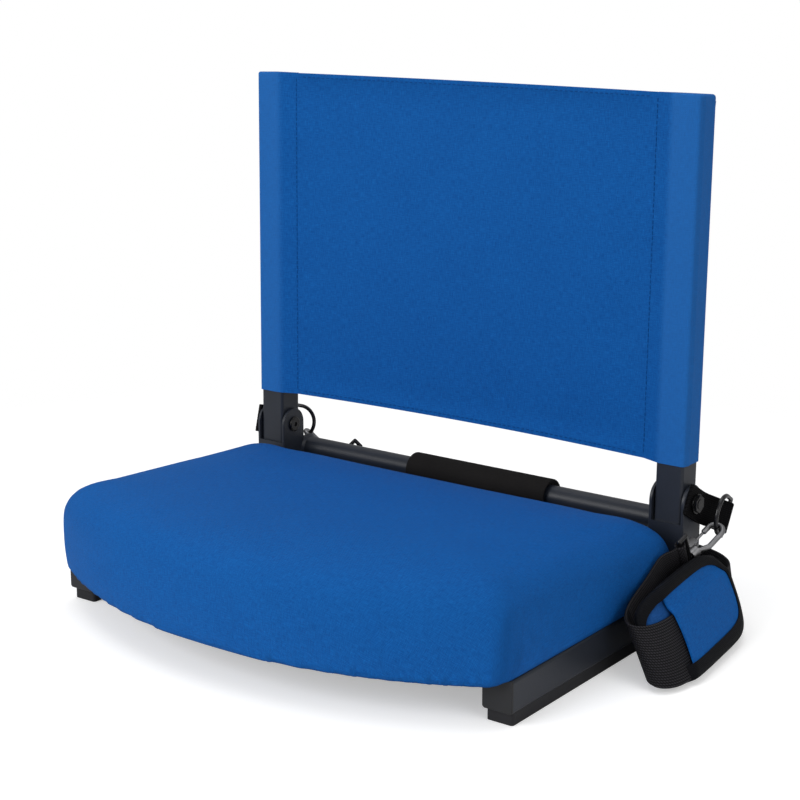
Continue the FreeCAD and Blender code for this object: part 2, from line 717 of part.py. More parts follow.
def make_pivot_nut():
    start = "outer_ear_x + tab_thickness + nut_room"
    face = cylinder("nut_face", "pivot_diameter", "nut_flange", start, "pivot_y", "pivot_height", "x")
    nut = doc.addObject("Part::Prism", "nut_hexagon")
    nut.Polygon = 6
    bind(nut, "Circumradius", "0.9 * pivot_diameter")
    bind(nut, "Height", "nut_height")
    nut.Placement = FreeCAD.Placement(V(), TURNS["x"])
    place(nut, f"{start} + nut_flange", "pivot_y", "pivot_height")
    bore = cylinder("nut_bore", "pivot_diameter / 2", "pivot_diameter * 2", f"{start} - overcut",
                    "pivot_y", "pivot_height", "x")
    return cut("pivot_nut", fuse("nut_block", [face, nut]), [bore])


keep_pair("pivot_nut", make_pivot_nut())

washers = []
for side in ("right", "left"):
    for edge, x in (("inner", "post_x - ear_gap / 2 + washer_room"),
                    ("outer", "post_x + ear_gap / 2 - side_room + washer_room")):
        name = f"washer_{side}_{edge}"
        thick = "side_room - 2 * washer_room"
        start = x if side == "right" else f"-({x}) - ({thick})"
        disc = cylinder(name + "_disc", "washer_diameter / 2", thick, start, "pivot_y", "pivot_height", "x")
        bore = cylinder(name + "_bore", "pivot_diameter / 2 + pivot_fit", "4 * side_room",
                        f"{start} - side_room", "pivot_y", "pivot_height", "x")
        washers.append(cut(name, disc, [bore]))
keep("pivot_washers", group("pivot_washers", washers))


# Cushion outline: a bowed front, straight sides and back, with round corners

def cushion_outline(name, inset, height, tilt):
    """The cushion's plan, drawn in by an inset, on a level or slightly tipped plane."""
    obj = doc.addObject("Sketcher::SketchObject", name)
    inset = f"({inset})"
    half = size(f"cushion_half_width - {inset}")
    front = size(f"front_y + {inset}")
    rear = size(f"cushion_rear - {inset}")
    bow = size(f"cushion_front_radius - {inset}")
    corner = size("cushion_front_corner")
    back = size("cushion_rear_corner")
    middle = V(0, front + bow, 0)
    rise = math.sqrt((bow - corner) ** 2 - (half - corner) ** 2)
    turn = math.atan2(half - corner, rise)
    up = V(0, 0, 1)
    centre_y = middle.y - rise
    quarter = math.pi / 2
    arc = Part.ArcOfCircle
    outline = (
        arc(Part.Circle(middle, up, bow), -quarter - turn, -quarter + turn),
        arc(Part.Circle(V(half - corner, centre_y, 0), up, corner), -quarter + turn, 0),
        Part.LineSegment(V(half, centre_y, 0), V(half, rear - back, 0)),
        arc(Part.Circle(V(half - back, rear - back, 0), up, back), 0, quarter),
        Part.LineSegment(V(half - back, rear, 0), V(back - half, rear, 0)),
        arc(Part.Circle(V(back - half, rear - back, 0), up, back), quarter, 2 * quarter),
        Part.LineSegment(V(-half, rear - back, 0), V(-half, centre_y, 0)),
        arc(Part.Circle(V(corner - half, centre_y, 0), up, corner), 2 * quarter, 3 * quarter - turn),
    )
    for item in outline:
        obj.addGeometry(item)
    count = len(outline)
    for index in range(count):
        obj.addConstraint(Sketcher.Constraint("Tangent", index, 2, (index + 1) % count, 1))
    for line in (2, 6):
        obj.addConstraint(Sketcher.Constraint("Vertical", line))
    obj.addConstraint(Sketcher.Constraint("Horizontal", 4))
    obj.addConstraint(Sketcher.Constraint("PointOnObject", 0, 3, -2))
    radius_of(obj, 0, f"cushion_front_radius - {inset}")
    for index in (1, 7):
        radius_of(obj, index, "cushion_front_corner")
    for index in (3, 5):
        radius_of(obj, index, "cushion_rear_corner")
    fix(obj, "DistanceX", 2, 1, f"cushion_half_width - {inset}")
    fix(obj, "DistanceX", 6, 1, f"{inset} - cushion_half_width")
    fix(obj, "DistanceY", 4, 1, f"cushion_rear - {inset}")
    fix(obj, "DistanceY", 0, 3, "front_y + cushion_front_radius")
    centre = V(0, size("front_y"), 0)
    slope = FreeCAD.Rotation(V(1, 0, 0), -size(tilt))
    obj.Placement = FreeCAD.Placement(V(0, 0, size(height)), slope, centre)
    return obj


TOP_TILT = "atan((cushion_front_height - cushion_rear_height) / cushion_depth) / 1deg"
EDGE_TURNS = (0, 15, 30, 45, 60, 75)
CROWN_STEPS = (0.05, 0.25, 0.5, 0.75, 1)


def cushion_form(name, skin, floor):
    """The cushion's rounded form, a skin's thickness inside its outer face, from a height upwards."""
    top = f"rail_top + cushion_front_height - ({skin})"
    edge = "cushion_edge_radius"
    sections = [
        cushion_outline(name + "_bottom", f"cushion_draw_in + {skin}", floor, "0"),
        cushion_outline(name + "_side", skin, f"{floor} + cushion_side_height", f"({TOP_TILT}) / 3"),
    ]
    for turn in EDGE_TURNS:
        step = math.radians(turn)
        inset = f"{edge} * {1 - math.cos(step):.5f} + {skin}"
        height = f"{top} - {edge} * {1 - math.sin(step):.5f}"
        sections.append(cushion_outline(f"{name}_edge_{turn}", inset, height, TOP_TILT))
    for step in CROWN_STEPS:
        inset = f"{edge} + (crown_inset - {edge}) * {step} + {skin}"
        height = f"{top} + cushion_crown * {1 - (1 - step) ** 2:.5f}"
        sections.append(cushion_outline(f"{name}_crown_{int(100 * step)}", inset, height, TOP_TILT))
    obj = doc.addObject("Part::Loft", name)
    obj.Sections = sections
    obj.Solid = True
    obj.Ruled = True
    return obj


def outline_prism(name, inset, low, high):
    """A straight block of the cushion's plan between two heights."""
    obj = doc.addObject("Part::Extrusion", name)
    obj.Base = cushion_outline(name + "_outline", inset, low, "0")
    obj.DirMode = "Custom"
    obj.Dir = V(0, 0, 1)
    obj.Solid = True
    bind(obj, "LengthFwd", f"({high}) - ({low})")
    return obj


def make_seat():
    """Cover, foam, board and under-cloth, from the inside of the cover outwards."""
    skin = "cover_thickness"
    snug = "cover_thickness + soft_room"
    holes = []
    for side, x in (("right", "rail_x"), ("left", "-rail_x")):
        for number, y in enumerate(SCREW_PLACES):
            holes.append(cylinder(f"board_hole_{side}_{number}", "screw_diameter / 2 + screw_room",
                                  "screw_bite + 3 * overcut", x, y, "rail_top - overcut"))
    cover = cut("seat_cover", cushion_form("cover_outside", "0", "rail_top"),
                [cushion_form("cover_inside", skin, "board_bottom"),
                 outline_prism("cover_mouth", "hem_width", "rail_top - overcut",
                               "board_bottom + overcut")] + holes)
    keep("seat_cover", cover)

    board_inset = f"cushion_draw_in + {snug} + board_room"
    board = outline_prism("board_blank", board_inset, "board_bottom", "board_top")
    keep("seat_board", cut("seat_board", board, holes))

    under = outline_prism("foam_limit", "0 - cushion_draw_in", "rail_bottom", "board_top")
    keep("seat_foam", cut("seat_foam", cushion_form("foam_form", snug, "board_bottom + soft_room"), [under]))

    cloth = outline_prism("under_cloth", "hem_width + overcut", "board_bottom - cloth_thickness",
                          "board_bottom")
    keep("under_cloth", cloth)


make_seat()


def make_staples():
    """Staple crowns along the front and back hems, clear of the rails."""
    staples = []
    count = 8
    first = size("rail_x - rail_width - staple_width")
    for index in range(count):
        x = first * (2 * index / (count - 1) - 1)
        bow = size("cushion_front_radius")
        arc_y = size("front_y + hem_width / 2") + bow - math.sqrt(bow ** 2 - x ** 2)
        for row, y in (("front", arc_y), ("rear", size("cushion_rear - hem_width / 2"))):
            staples.append(box(f"staple_{row}_{index}", "staple_width", "staple_wire", "staple_wire",
                               f"{x:.3f} - staple_width / 2", f"{y:.3f}", "rail_top - staple_wire"))
    return group("hem_staples", staples)


keep("hem_staples", make_staples())


# Sling: a closed pocket round each post and a bowed panel between the two seams

def make_sling():
    body = doc.addObject("PartDesign::Body", "back_sling")
    section = sketch(body, "sling_section", "XY_Plane", "sling_bottom")
    loose = "(sling_room + sling_thickness)"
    seam_x = "post_x - post_width / 2 - seam_inset"
    seam_y = "pivot_y - post_depth / 2 + seam_recess"
    right = "post_x + post_width / 2"
    left = "post_x - post_width / 2"
    front = "pivot_y - post_depth / 2"
    back = "pivot_y + post_depth / 2"

    def outline(sign):
        s = "" if sign > 0 else "-1 * "
        return (
            (f"{s}({seam_x})", f"{seam_y} - sling_thickness"),
            (f"{s}({left} - sling_thickness)", f"{front} - {loose}"),
            (f"{s}({right} + {loose})", f"{front} - {loose}"),
            (f"{s}({right} + {loose})", f"{back} + {loose}"),
            (f"{s}({left} - sling_thickness)", f"{back} + {loose}"),
            (f"{s}({seam_x})", f"{seam_y} + sling_thickness"),
        )

    def pocket_space(sign):
        s = "" if sign > 0 else "-1 * "
        return (
            (f"{s}({seam_x} + seam_width)", f"{seam_y}"),
            (f"{s}({left} - sling_room / 3)", f"{front} - sling_room"),
            (f"{s}({right} + sling_room)", f"{front} - sling_room"),
            (f"{s}({right} + sling_room)", f"{back} + sling_room"),
            (f"{s}({left} - sling_room / 3)", f"{back} + sling_room"),
        )

    points = {sign: outline(sign) for sign in (1, -1)}
    chain = []
    for sign in (1, -1):
        corners = [V(size(x), size(y), 0) for x, y in points[sign]]
        for index in range(len(corners) - 1):
            line = Part.LineSegment(corners[index], corners[index + 1])
            chain.append((section.addGeometry(line), sign, index))
    for item, sign, index in chain:
        fix(section, "DistanceX", item, 1, points[sign][index][0])
        fix(section, "DistanceY", item, 1, points[sign][index][1])
        last = index + 1
        fix(section, "DistanceX", item, 2, points[sign][last][0])
        fix(section, "DistanceY", item, 2, points[sign][last][1])
    for row in (0, 5):
        ends = [V(size(points[sign][row][0]), size(points[sign][row][1]), 0) for sign in (1, -1)]
        middle = V(0, ends[0].y + size("sling_bow"), 0)
        section.addGeometry(Part.Arc(ends[0], middle, ends[1]))
    pad(body, section, "back_height - sling_bottom")
    spaces = sketch(body, "sling_pockets", "XY_Plane", "sling_bottom")
    for sign in (1, -1):
        polygon(spaces, pocket_space(sign))
    pocket(body, spaces, "back_height - sling_thickness - sling_bottom", reverse=True)
    return lean(body)


keep("back_sling", make_sling())


# Strap tabs: webbing clamped under the pivot nuts, with a sewn loop round each D-ring's bar

def sphere(name, radius, x, y, z):
    obj = doc.addObject("Part::Sphere", name)
    bind(obj, "Radius", radius)
    place(obj, x, y, z)
    return obj


def half_torus(name, bend, radius, x):
    """Half a ring of wire in the XY plane, bulging to +X, its middle on the X axis."""
    obj = doc.addObject("Part::Torus", name)
    bind(obj, "Radius1", bend)
    bind(obj, "Radius2", radius)
    obj.Angle3 = 180
    obj.Placement = FreeCAD.Placement(V(), FreeCAD.Rotation(V(0, 0, 1), -90))
    place(obj, x)
    return obj


def along(origin, x_axis, z_axis):
    """The placement that lays local X and Z on two square directions."""
    x = V(x_axis).normalize()
    z = V(z_axis).normalize()
    y = z.cross(x)
    return FreeCAD.Placement(FreeCAD.Matrix(x.x, y.x, z.x, origin.x, x.y, y.y, z.y, origin.y,
                                            x.z, y.z, z.z, origin.z, 0, 0, 0, 1))


def fastening(side, sign):
    """Where a ring and a hook hang: bar, ring directions, eye, and the hook's two directions."""
    droop = math.radians(size("tab_droop_" + side))
    flare = math.radians(size("tab_flare_" + side))
    swing = math.radians(size("ring_swing_" + side))
    slip = math.radians(size("ring_slip_" + side))
    yaw = math.radians(size("hook_yaw_" + side))
    back = V(0, math.cos(droop), -math.sin(droop))
    up = V(0, math.sin(droop), math.cos(droop))
    out = V(1, 0, 0)
    bend = size("tab_bend")
    reach = (size("tab_reach") - bend) / math.cos(flare)
    half = size("tab_thickness / 2")
    bar = V(size("outer_ear_x"), size("pivot_y"), size("pivot_height"))
    bar += out * (reach * math.sin(flare) + half * math.cos(flare))
    bar += back * (bend + reach * math.cos(flare) - half * math.sin(flare))
    lead = back * math.cos(swing) + out * math.sin(swing)
    spoke = lead * math.cos(slip) + up * math.sin(slip)
    tangent = up * math.cos(slip) - lead * math.sin(slip)
    pull = spoke * math.cos(yaw) + lead.cross(up) * math.sin(yaw)
    hang = bar + lead * size("ring_depth - ring_half") + spoke * size("ring_half")
    eye = hang + pull * size("hook_length")
    return [V(sign * item.x, item.y, item.z) for item in (bar, lead, up, eye, pull, tangent)]


def make_tab(side):
    name = "tab_" + side
    flare = math.radians(size("tab_flare_" + side))
    reach = f"((tab_reach - tab_bend) * {1 / math.cos(flare):.6f})"
    half = "tab_thickness / 2"
    root = box(name + "_root", "tab_thickness", "tab_root + tab_bend", "tab_width", "0", "-tab_root",
               "-tab_width / 2")
    tail = box(name + "_tail", "tab_thickness", reach, "tab_width", "0", "tab_bend", "-tab_width / 2")
    tail.Placement.Rotation = FreeCAD.Rotation(V(0, 0, 1), -math.degrees(flare))
    loop_x = f"{reach} * {math.sin(flare):.6f} + {half} * {math.cos(flare):.6f}"
    loop_y = f"tab_bend + {reach} * {math.cos(flare):.6f} - {half} * {math.sin(flare):.6f}"
    loop = cylinder(name + "_loop", "ring_wire / 2 + layer_room + tab_thickness / 2", "tab_width",
                    loop_x, loop_y, "-tab_width / 2")
    bore = cylinder(name + "_bore", "ring_wire / 2 + layer_room", "tab_width + 2 * overcut",
                    loop_x, loop_y, "-tab_width / 2 - overcut")
    hole = cylinder(name + "_hole", "pivot_diameter / 2 + pivot_fit", "3 * tab_thickness", "-tab_thickness",
                    "0", "0", "x")
    obj = cut(name, fuse(name + "_cloth", [root, tail, loop]), [bore, hole])
    turn = FreeCAD.Rotation(V(1, 0, 0), -size("tab_droop_" + side))
    obj.Placement = FreeCAD.Placement(V(size("outer_ear_x"), size("pivot_y"), size("pivot_height")), turn)
    return obj


keep("strap_tab_right", make_tab("right"))
keep("strap_tab_left", mirrored("strap_tab_left", make_tab("left")))


# D-rings, snap hooks with their swivel eyes, and the gates

def make_ring(name):
    wire = "ring_wire / 2"
    straight = "ring_depth - ring_half"
    pieces = [half_torus(name + "_bow", "ring_half", wire, straight),
              cylinder(name + "_bar", wire, "2 * ring_half", "0", "-ring_half", "0", "y")]
    for end, y in (("upper", "ring_half"), ("lower", "-ring_half")):
        pieces.append(sphere(f"{name}_{end}_corner", wire, "0", y, "0"))
        pieces.append(cylinder(f"{name}_{end}_side", wire, straight, "0", y, "0", "x"))
    return fuse(name, pieces)


def make_eye(name):
    wire = "eye_wire / 2"
    pieces = []
    for bar, x in (("strap", "0"), ("swivel", "eye_depth")):
        pieces.append(cylinder(f"{name}_{bar}_bar", wire, "2 * eye_half", x, "0", "-eye_half"))
    for end, z in (("upper", "eye_half"), ("lower", "-eye_half")):
        pieces.append(cylinder(f"{name}_{end}_side", wire, "eye_depth", "0", "0", z, "x"))
        for corner, x in (("strap", "0"), ("swivel", "eye_depth")):
            pieces.append(sphere(f"{name}_{end}_{corner}_corner", wire, x, "0", z))
    barrel_end = "barrel_start + barrel_length"
    head_end = f"{barrel_end} - barrel_floor"
    pieces.append(cylinder(name + "_stem", "stem_radius", f"{head_end} - eye_depth", "eye_depth", "0", "0",
                           "x"))
    pieces.append(cylinder(name + "_head", "stem_head", "stem_head_length",
                           f"{head_end} - stem_head_length", "0", "0", "x"))
    return fuse(name, pieces)


def make_hook(name):
    wire = "hook_wire / 2"
    barrel_end = "barrel_start + barrel_length"
    bend_x = "hook_length - hook_bend + hook_wire / 2 + ring_wire / 2 + hook_room"
    throat = f"{barrel_end} + neck_run"
    barrel = cylinder(name + "_barrel", "barrel_radius", "barrel_length", "barrel_start", "0", "0", "x")
    neck = doc.addObject("Part::Cylinder", name + "_neck")
    bind(neck, "Radius", wire)
    start = V(size(f"{barrel_end} - hook_wire / 2"), 0, 0)
    finish = V(size(throat), -size("hook_bend"), 0)
    neck.Height = (finish - start).Length
    neck.Placement = FreeCAD.Placement(start, FreeCAD.Rotation(V(0, 0, 1), finish - start))
    shank = cylinder(name + "_shank", wire, f"{bend_x} - ({throat})", throat, "-hook_bend", "0", "x")
    knee = sphere(name + "_knee", wire, throat, "-hook_bend", "0")
    bow = half_torus(name + "_bow", "hook_bend", wire, bend_x)
    tip = cylinder(name + "_tip", wire, "hook_tip", f"{bend_x} - hook_tip", "hook_bend", "0", "x")
    nose = sphere(name + "_nose", wire, f"{bend_x} - hook_tip", "hook_bend", "0")
    cheek = "gate_thickness / 2 + hook_room"
    lug_start = f"{barrel_end} - barrel_floor"
    lug_across = f"2 * lug_thickness + 2 * ({cheek})"
    lug = box(name + "_lug", f"gate_pivot + gate_pin + lug_end - ({lug_start})", "hook_bend", lug_across,
              lug_start, "hook_bend / 2", f"-({cheek}) - lug_thickness")
    slot = box(name + "_slot", "2 * gate_pivot", "2 * hook_bend", f"2 * ({cheek})",
               f"{barrel_end} + lug_end", "0", f"-({cheek})")
    cavity_start = f"{barrel_end} - barrel_floor - stem_head_length - hook_room"
    cavity = cylinder(name + "_cavity", "stem_head + hook_room", "stem_head_length + 2 * hook_room",
                      cavity_start, "0", "0", "x")
    bore = cylinder(name + "_bore", "stem_radius + hook_room", "barrel_length - stem_head_length",
                    "barrel_start - overcut", "0", "0", "x")
    pin = cylinder(name + "_pin", "gate_pin / 2", lug_across, "gate_pivot", "hook_bend",
                   f"-({cheek}) - lug_thickness")
    lugs = cut(name + "_lugs", lug, [slot])
    metal = fuse(name + "_metal", [barrel, neck, knee, shank, bow, tip, nose, lugs, pin])
    return cut(name, metal, [cavity, bore])


def make_gate(name):
    tip_end = "hook_length - hook_bend + ring_wire / 2 - hook_tip"
    knuckle = cylinder(name + "_knuckle", "gate_pin / 2 + gate_eye_wall", "gate_thickness", "gate_pivot",
                       "hook_bend", "-gate_thickness / 2")
    bar = cylinder(name + "_bar", "gate_rod / 2", f"{tip_end} - gate_pivot", "gate_pivot", "hook_bend", "0",
                   "x")
    hole = cylinder(name + "_hole", "gate_pin / 2 + pivot_fit", "2 * gate_thickness", "gate_pivot",
                    "hook_bend", "-gate_thickness")
    return cut(name, fuse(name + "_block", [knuckle, bar]), [hole])


ends = {}
for side, sign in (("right", 1), ("left", -1)):
    bar, lead, up, eye, pull, tangent = fastening(side, sign)
    ends[side] = (eye, pull, tangent)
    ring = make_ring("ring_" + side)
    ring.Placement = along(bar, lead, lead.cross(up))
    keep("d_ring_" + side, ring)
    for piece, make in (("hook_eye_", make_eye), ("snap_hook_", make_hook), ("hook_gate_", make_gate)):
        obj = make(piece + "shape_" + side)
        obj.Placement = along(eye, pull * -1, tangent)
        keep(piece + side, obj)


# Webbing: a ribbon from the right eye, round the pad and behind the seat to the left eye

# Each row is a point on the line (Y from the pivot axis) and the direction of the webbing's upper edge
ROUTE_EAR_X = 218.5
ROUTE = (
    (221.5, -45, 50.5, -0.02, -0.4, 0.91),
    (224.5, -61, 44, -0.08, -0.34, 0.93),
    (229, -80, 38, -0.18, -0.26, 0.94),
    (233, -100, 32.4, -0.3, -0.14, 0.93),
    (237.5, -117, 28.2, -0.42, 0.02, 0.9),
    (243.5, -130, 25.4, -0.5, 0.14, 0.85),
    (253, -136.5, 24, -0.55, 0.2, 0.81),
    (262, -132.5, 23.9, -0.54, 0.16, 0.83),
    (267.4, -122, 24.4, -0.51, 0.08, 0.86),
    (268.8, -107, 25.2, -0.48, 0.02, 0.88),
    (267.6, -89, 26.2, -0.46, 0, 0.89),
    (265.3, -67, 27, -0.46, 0, 0.89),
    (263, -45, 27.4, -0.46, 0, 0.89),
    (260.6, -24, 27.4, -0.46, 0, 0.89),
    (257.6, -4, 27, -0.44, 0, 0.9),
    (252.6, 12, 25.8, -0.3, 0, 0.95),
    (243, 25, 24.5, -0.12, 0, 0.99),
    (232, 36, 24.4, -0.03, 0, 1),
    (216, 45, 24.4, 0, 0, 1),
    (195, 51, 24.4, 0, 0, 1),
    (168, 55, 24.4, 0, 0, 1),
    (136, 58, 24.8, 0, 0, 1),
    (102, 60.4, 26, 0, 0, 1),
    (66, 62, 28, 0, 0, 1),
    (30, 63, 29.2, 0, 0, 1),
    (-6, 63.4, 29.2, 0, 0, 1),
    (-40, 63.4, 27.6, 0, 0, 1),
    (-70, 63, 25.8, 0, 0, 1),
    (-94, 62.4, 24.8, 0.01, 0, 1),
    (-115, 61.4, 24.7, 0.06, 0, 1),
    (-133, 60.2, 25.4, 0.18, 0.06, 0.98),
    (-148, 58.4, 28.4, 0.38, 0.16, 0.91),
    (-159.5, 55.2, 35, 0.53, 0.29, 0.8),
)
STEPS_PER_RUN = 4


def strap_line():
    """The webbing's middle line and the direction of its upper edge, as two curves with one parameter."""
    spread = size("outer_ear_x") / ROUTE_EAR_X
    pivot = size("pivot_y")
    begin = size("eye_wire / 2 + layer_room + strap_thickness / 2")
    straight = 2 * begin
    eye, pull, tangent = ends["right"]
    points = [eye + pull * begin, eye + pull * straight]
    edges = [tangent, tangent]
    for x, y, z, edge_x, edge_y, edge_z in ROUTE:
        points.append(V(x * spread, y + pivot, z))
        edges.append(V(edge_x, edge_y, edge_z))
    eye, pull, tangent = ends["left"]
    points += [eye + pull * straight, eye + pull * begin]
    edges += [tangent, tangent]
    curves = []
    for poles in (points, edges):
        curve = Part.BSplineCurve()
        curve.buildFromPoles(poles, False, 2)
        curves.append(curve)
    return curves


middle_line, edge_line = strap_line()
strap_edge = middle_line.toShape()


def strap_frame(parameter):
    """A point of the webbing, with its direction, its upper edge's direction and its outward side."""
    point = middle_line.value(parameter)
    ahead = V(*middle_line.tangent(parameter)[0]).normalize()
    edge = edge_line.value(parameter).normalize()
    return point, ahead, edge, ahead.cross(edge).normalize()


def strap_section(parameter, corners):
    """A closed outline across the webbing, its corners given as (outward, upward)."""
    point, ahead, edge, outward = strap_frame(parameter)
    points = [point + outward * out + edge * up for out, up in corners]
    return Part.makePolygon(points + points[:1])


def strap_piece(name, sections):
    obj = doc.addObject("Part::Feature", name)
    obj.Shape = Part.makeLoft(sections, True, True)
    return obj


def strap_parameter(length):
    return strap_edge.getParameterByLength(length)


def make_webbing():
    half = size("strap_thickness") / 2
    side = size("strap_width") / 2
    corners = ((-half, -side), (half, -side), (half, side), (-half, side))
    runs = STEPS_PER_RUN * (len(ROUTE) + 2)
    ribbon = strap_piece("webbing_ribbon",
                         [strap_section(index / runs, corners) for index in range(runs + 1)])
    pieces = [ribbon]
    for end in ("right", "left"):
        eye, pull, tangent = ends[end]
        name = "webbing_loop_" + end
        around = cylinder(name + "_skin", "eye_wire / 2 + layer_room + strap_thickness", "strap_width",
                          "0", "0", "-strap_width / 2")
        bore = cylinder(name + "_bore", "eye_wire / 2 + layer_room", "strap_width + 2 * overcut",
                        "0", "0", "-strap_width / 2 - overcut")
        loop = cut(name, around, [bore])
        loop.Placement = along(eye, pull, tangent)
        pieces.append(loop)
    return fuse("webbing", pieces)


keep("strap_webbing", make_webbing())


def make_slider():
    """A slider round the webbing, with two windows in its outer face."""
    room = "layer_room"
    deep = f"strap_thickness + 2 * {room}"
    tall = f"strap_width + 2 * {room}"
    block = box("slider_block", "slider_length", f"{deep} + slider_bar", f"{tall} + 2 * slider_bar",
                "-slider_length / 2", f"-({deep} + slider_bar) / 2", f"-({tall}) / 2 - slider_bar")
    path = box("slider_path", "2 * slider_length", deep, tall, "-slider_length", f"-({deep}) / 2",
               f"-({tall}) / 2")
    tools = [path]
    for name, x in (("first", "-slider_length / 2 + slider_bar"), ("second", "slider_bar / 2")):
        tools.append(box(f"slider_{name}_window", "slider_length / 2 - 1.5 * slider_bar", "2 * slider_bar",
                         tall, x, "-2 * slider_bar", f"-({tall}) / 2"))
    obj = cut("slider", block, tools)
    point, ahead, edge, outward = strap_frame(strap_parameter(size("slider_place")))
    obj.Placement = along(point, ahead, edge)
    return obj


keep("strap_slider", make_slider())


# Shoulder pad on the webbing's inner face, and the keeper flap that covers the webbing

# Corners of the pad's section: height as a share of its half height, depth as a share of its thickness
PAD_SHAPE = ((1, -0.2), (1, -0.55), (0.6, -1), (-0.6, -1), (-1, -0.55), (-1, -0.2), (-0.7, 0), (0.7, 0))
PAD_ROUNDING = (0, 0.08, 0.2, 0.4, 0.7, 1)
PAD_END_SHARE = 0.62
PAD_STEPS = 8


def make_pad():
    face = size("-strap_thickness / 2 - layer_room")
    start = size("pad_start")
    length = size("pad_length")
    half = size("pad_height") / 2
    corner = size("pad_corner")
    thick = size("pad_thickness")
    lift = size("pad_lift")
    from_end = [corner * share for share in PAD_ROUNDING]
    middle = [corner + (length - 2 * corner) * step / PAD_STEPS for step in range(1, PAD_STEPS)]
    stations = from_end + middle + [length - item for item in reversed(from_end)]
    sections = []
    for station in stations:
        inward = min(station, length - station, corner)
        reach = math.sqrt(corner ** 2 - (corner - inward) ** 2)
        tall = half - corner + reach
        deep = thick * (PAD_END_SHARE + (1 - PAD_END_SHARE) * reach / corner)
        corners = [(face + share * deep, lift + up * tall) for up, share in PAD_SHAPE]
        sections.append(strap_section(strap_parameter(start + station), corners))
    return strap_piece("pad_block", sections)


keep("shoulder_pad", make_pad())


def make_flap():
    face = size("-strap_thickness / 2 - layer_room")
    over = size("strap_thickness + 2 * layer_room")
    thick = size("flap_thickness")
    side = size("strap_width / 2 + layer_room")
    top = side + size("flap_rise")
    foot = -side - size("flap_lip")
    rest = size("layer_room")
    corners = [(face + out, up) for out, up in (
        (rest + thick, top), (over + thick, side + thick), (over + thick, -side - thick),
        (rest + thick, foot), (rest, foot), (over, -side), (over, side), (rest, top))]
    steps = 16
    start = size("flap_start")
    length = size("flap_length")
    return strap_piece("flap_block", [strap_section(strap_parameter(start + length * step / steps), corners)
                                      for step in range(steps + 1)])


keep("pad_flap", make_flap())


# Check every object, then write one file for each sub-part

doc.recompute()
for obj in doc.Objects:
    if "Invalid" in obj.State or "Error" in obj.State:
        raise RuntimeError(f"{obj.Label} did not recompute: {obj.State}")
for name, obj in parts.items():
    shape = obj.Shape
    if shape.isNull() or not shape.isValid() or not shape.Solids:
        raise RuntimeError(f"{name} has no valid solid")

os.makedirs("parts", exist_ok=True)
for name, obj in parts.items():
    obj.Shape.exportStep(f"parts/{name}.step")
print(len(parts), "sub-parts written")
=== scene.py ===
"""A portable stadium seat: padded cushion on a low steel frame, folding canvas back and clip-on strap."""
import json
import math

import bpy
from mathutils import Matrix, Vector


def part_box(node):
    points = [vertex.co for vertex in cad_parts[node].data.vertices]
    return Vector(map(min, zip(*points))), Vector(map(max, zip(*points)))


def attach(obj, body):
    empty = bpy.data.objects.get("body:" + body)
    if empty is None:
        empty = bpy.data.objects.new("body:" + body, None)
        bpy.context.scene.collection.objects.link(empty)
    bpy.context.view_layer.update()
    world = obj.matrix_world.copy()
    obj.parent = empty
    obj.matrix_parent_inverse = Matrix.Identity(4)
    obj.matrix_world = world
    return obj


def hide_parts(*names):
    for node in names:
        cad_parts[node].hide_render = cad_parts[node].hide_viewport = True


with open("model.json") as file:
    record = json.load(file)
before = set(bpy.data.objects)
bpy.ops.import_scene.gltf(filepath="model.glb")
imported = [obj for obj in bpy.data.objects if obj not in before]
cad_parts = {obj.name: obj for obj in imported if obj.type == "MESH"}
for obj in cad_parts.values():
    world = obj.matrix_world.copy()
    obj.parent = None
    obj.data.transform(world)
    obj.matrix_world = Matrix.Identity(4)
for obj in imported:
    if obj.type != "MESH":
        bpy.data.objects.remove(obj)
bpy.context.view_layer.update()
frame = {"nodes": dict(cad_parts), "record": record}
nodes = frame["nodes"]


# Steel frame: square rails and posts, bent hinge brackets and a round cross tube.
# Mild steel, cut, drilled and welded, then powder coated in dark charcoal with a satin sheen.

def new_material(name):
    """A material, its node tree and its one shader."""
    material = bpy.data.materials.new(name)
    material.use_nodes = True
    tree = material.node_tree
    return material, tree, tree.nodes["Principled BSDF"]


def add_node(tree, kind, links=(), **values):
    """A node with the links that lead into it and its other inputs set by name."""
    node = tree.nodes.new(kind)
    for socket, source in links:
        tree.links.new(source, node.inputs[socket])
    for name, value in values.items():
        node.inputs[name.replace("_", " ")].default_value = value
    return node


def mix_colour(tree, mask, low, high):
    """One colour where a mask is 0, another where it is 1."""
    node = tree.nodes.new("ShaderNodeMix")
    node.data_type = "RGBA"
    tree.links.new(mask, node.inputs["Factor"])
    for name, colour in (("A", low), ("B", high)):
        socket = next(item for item in node.inputs if item.name == name and item.type == "RGBA")
        if isinstance(colour, tuple):
            socket.default_value = (*colour, 1)
        else:
            tree.links.new(colour, socket)
    return next(item for item in node.outputs if item.type == "RGBA")


def stretch(tree, value, low, high):
    """A value from 0 to 1, stretched to another range."""
    node = add_node(tree, "ShaderNodeMapRange", (("Value", value),), To_Min=low, To_Max=high)
    return node.outputs["Result"]


def new_group(name, inputs, outputs):
    """An empty node group with its input and output nodes."""
    group = bpy.data.node_groups.new(name, "ShaderNodeTree")
    for way, sockets in (("INPUT", inputs), ("OUTPUT", outputs)):
        for label, kind in sockets:
            group.interface.new_socket(label, in_out=way, socket_type="NodeSocket" + kind)
    return group, group.nodes.new("NodeGroupInput").outputs, group.nodes.new("NodeGroupOutput").inputs


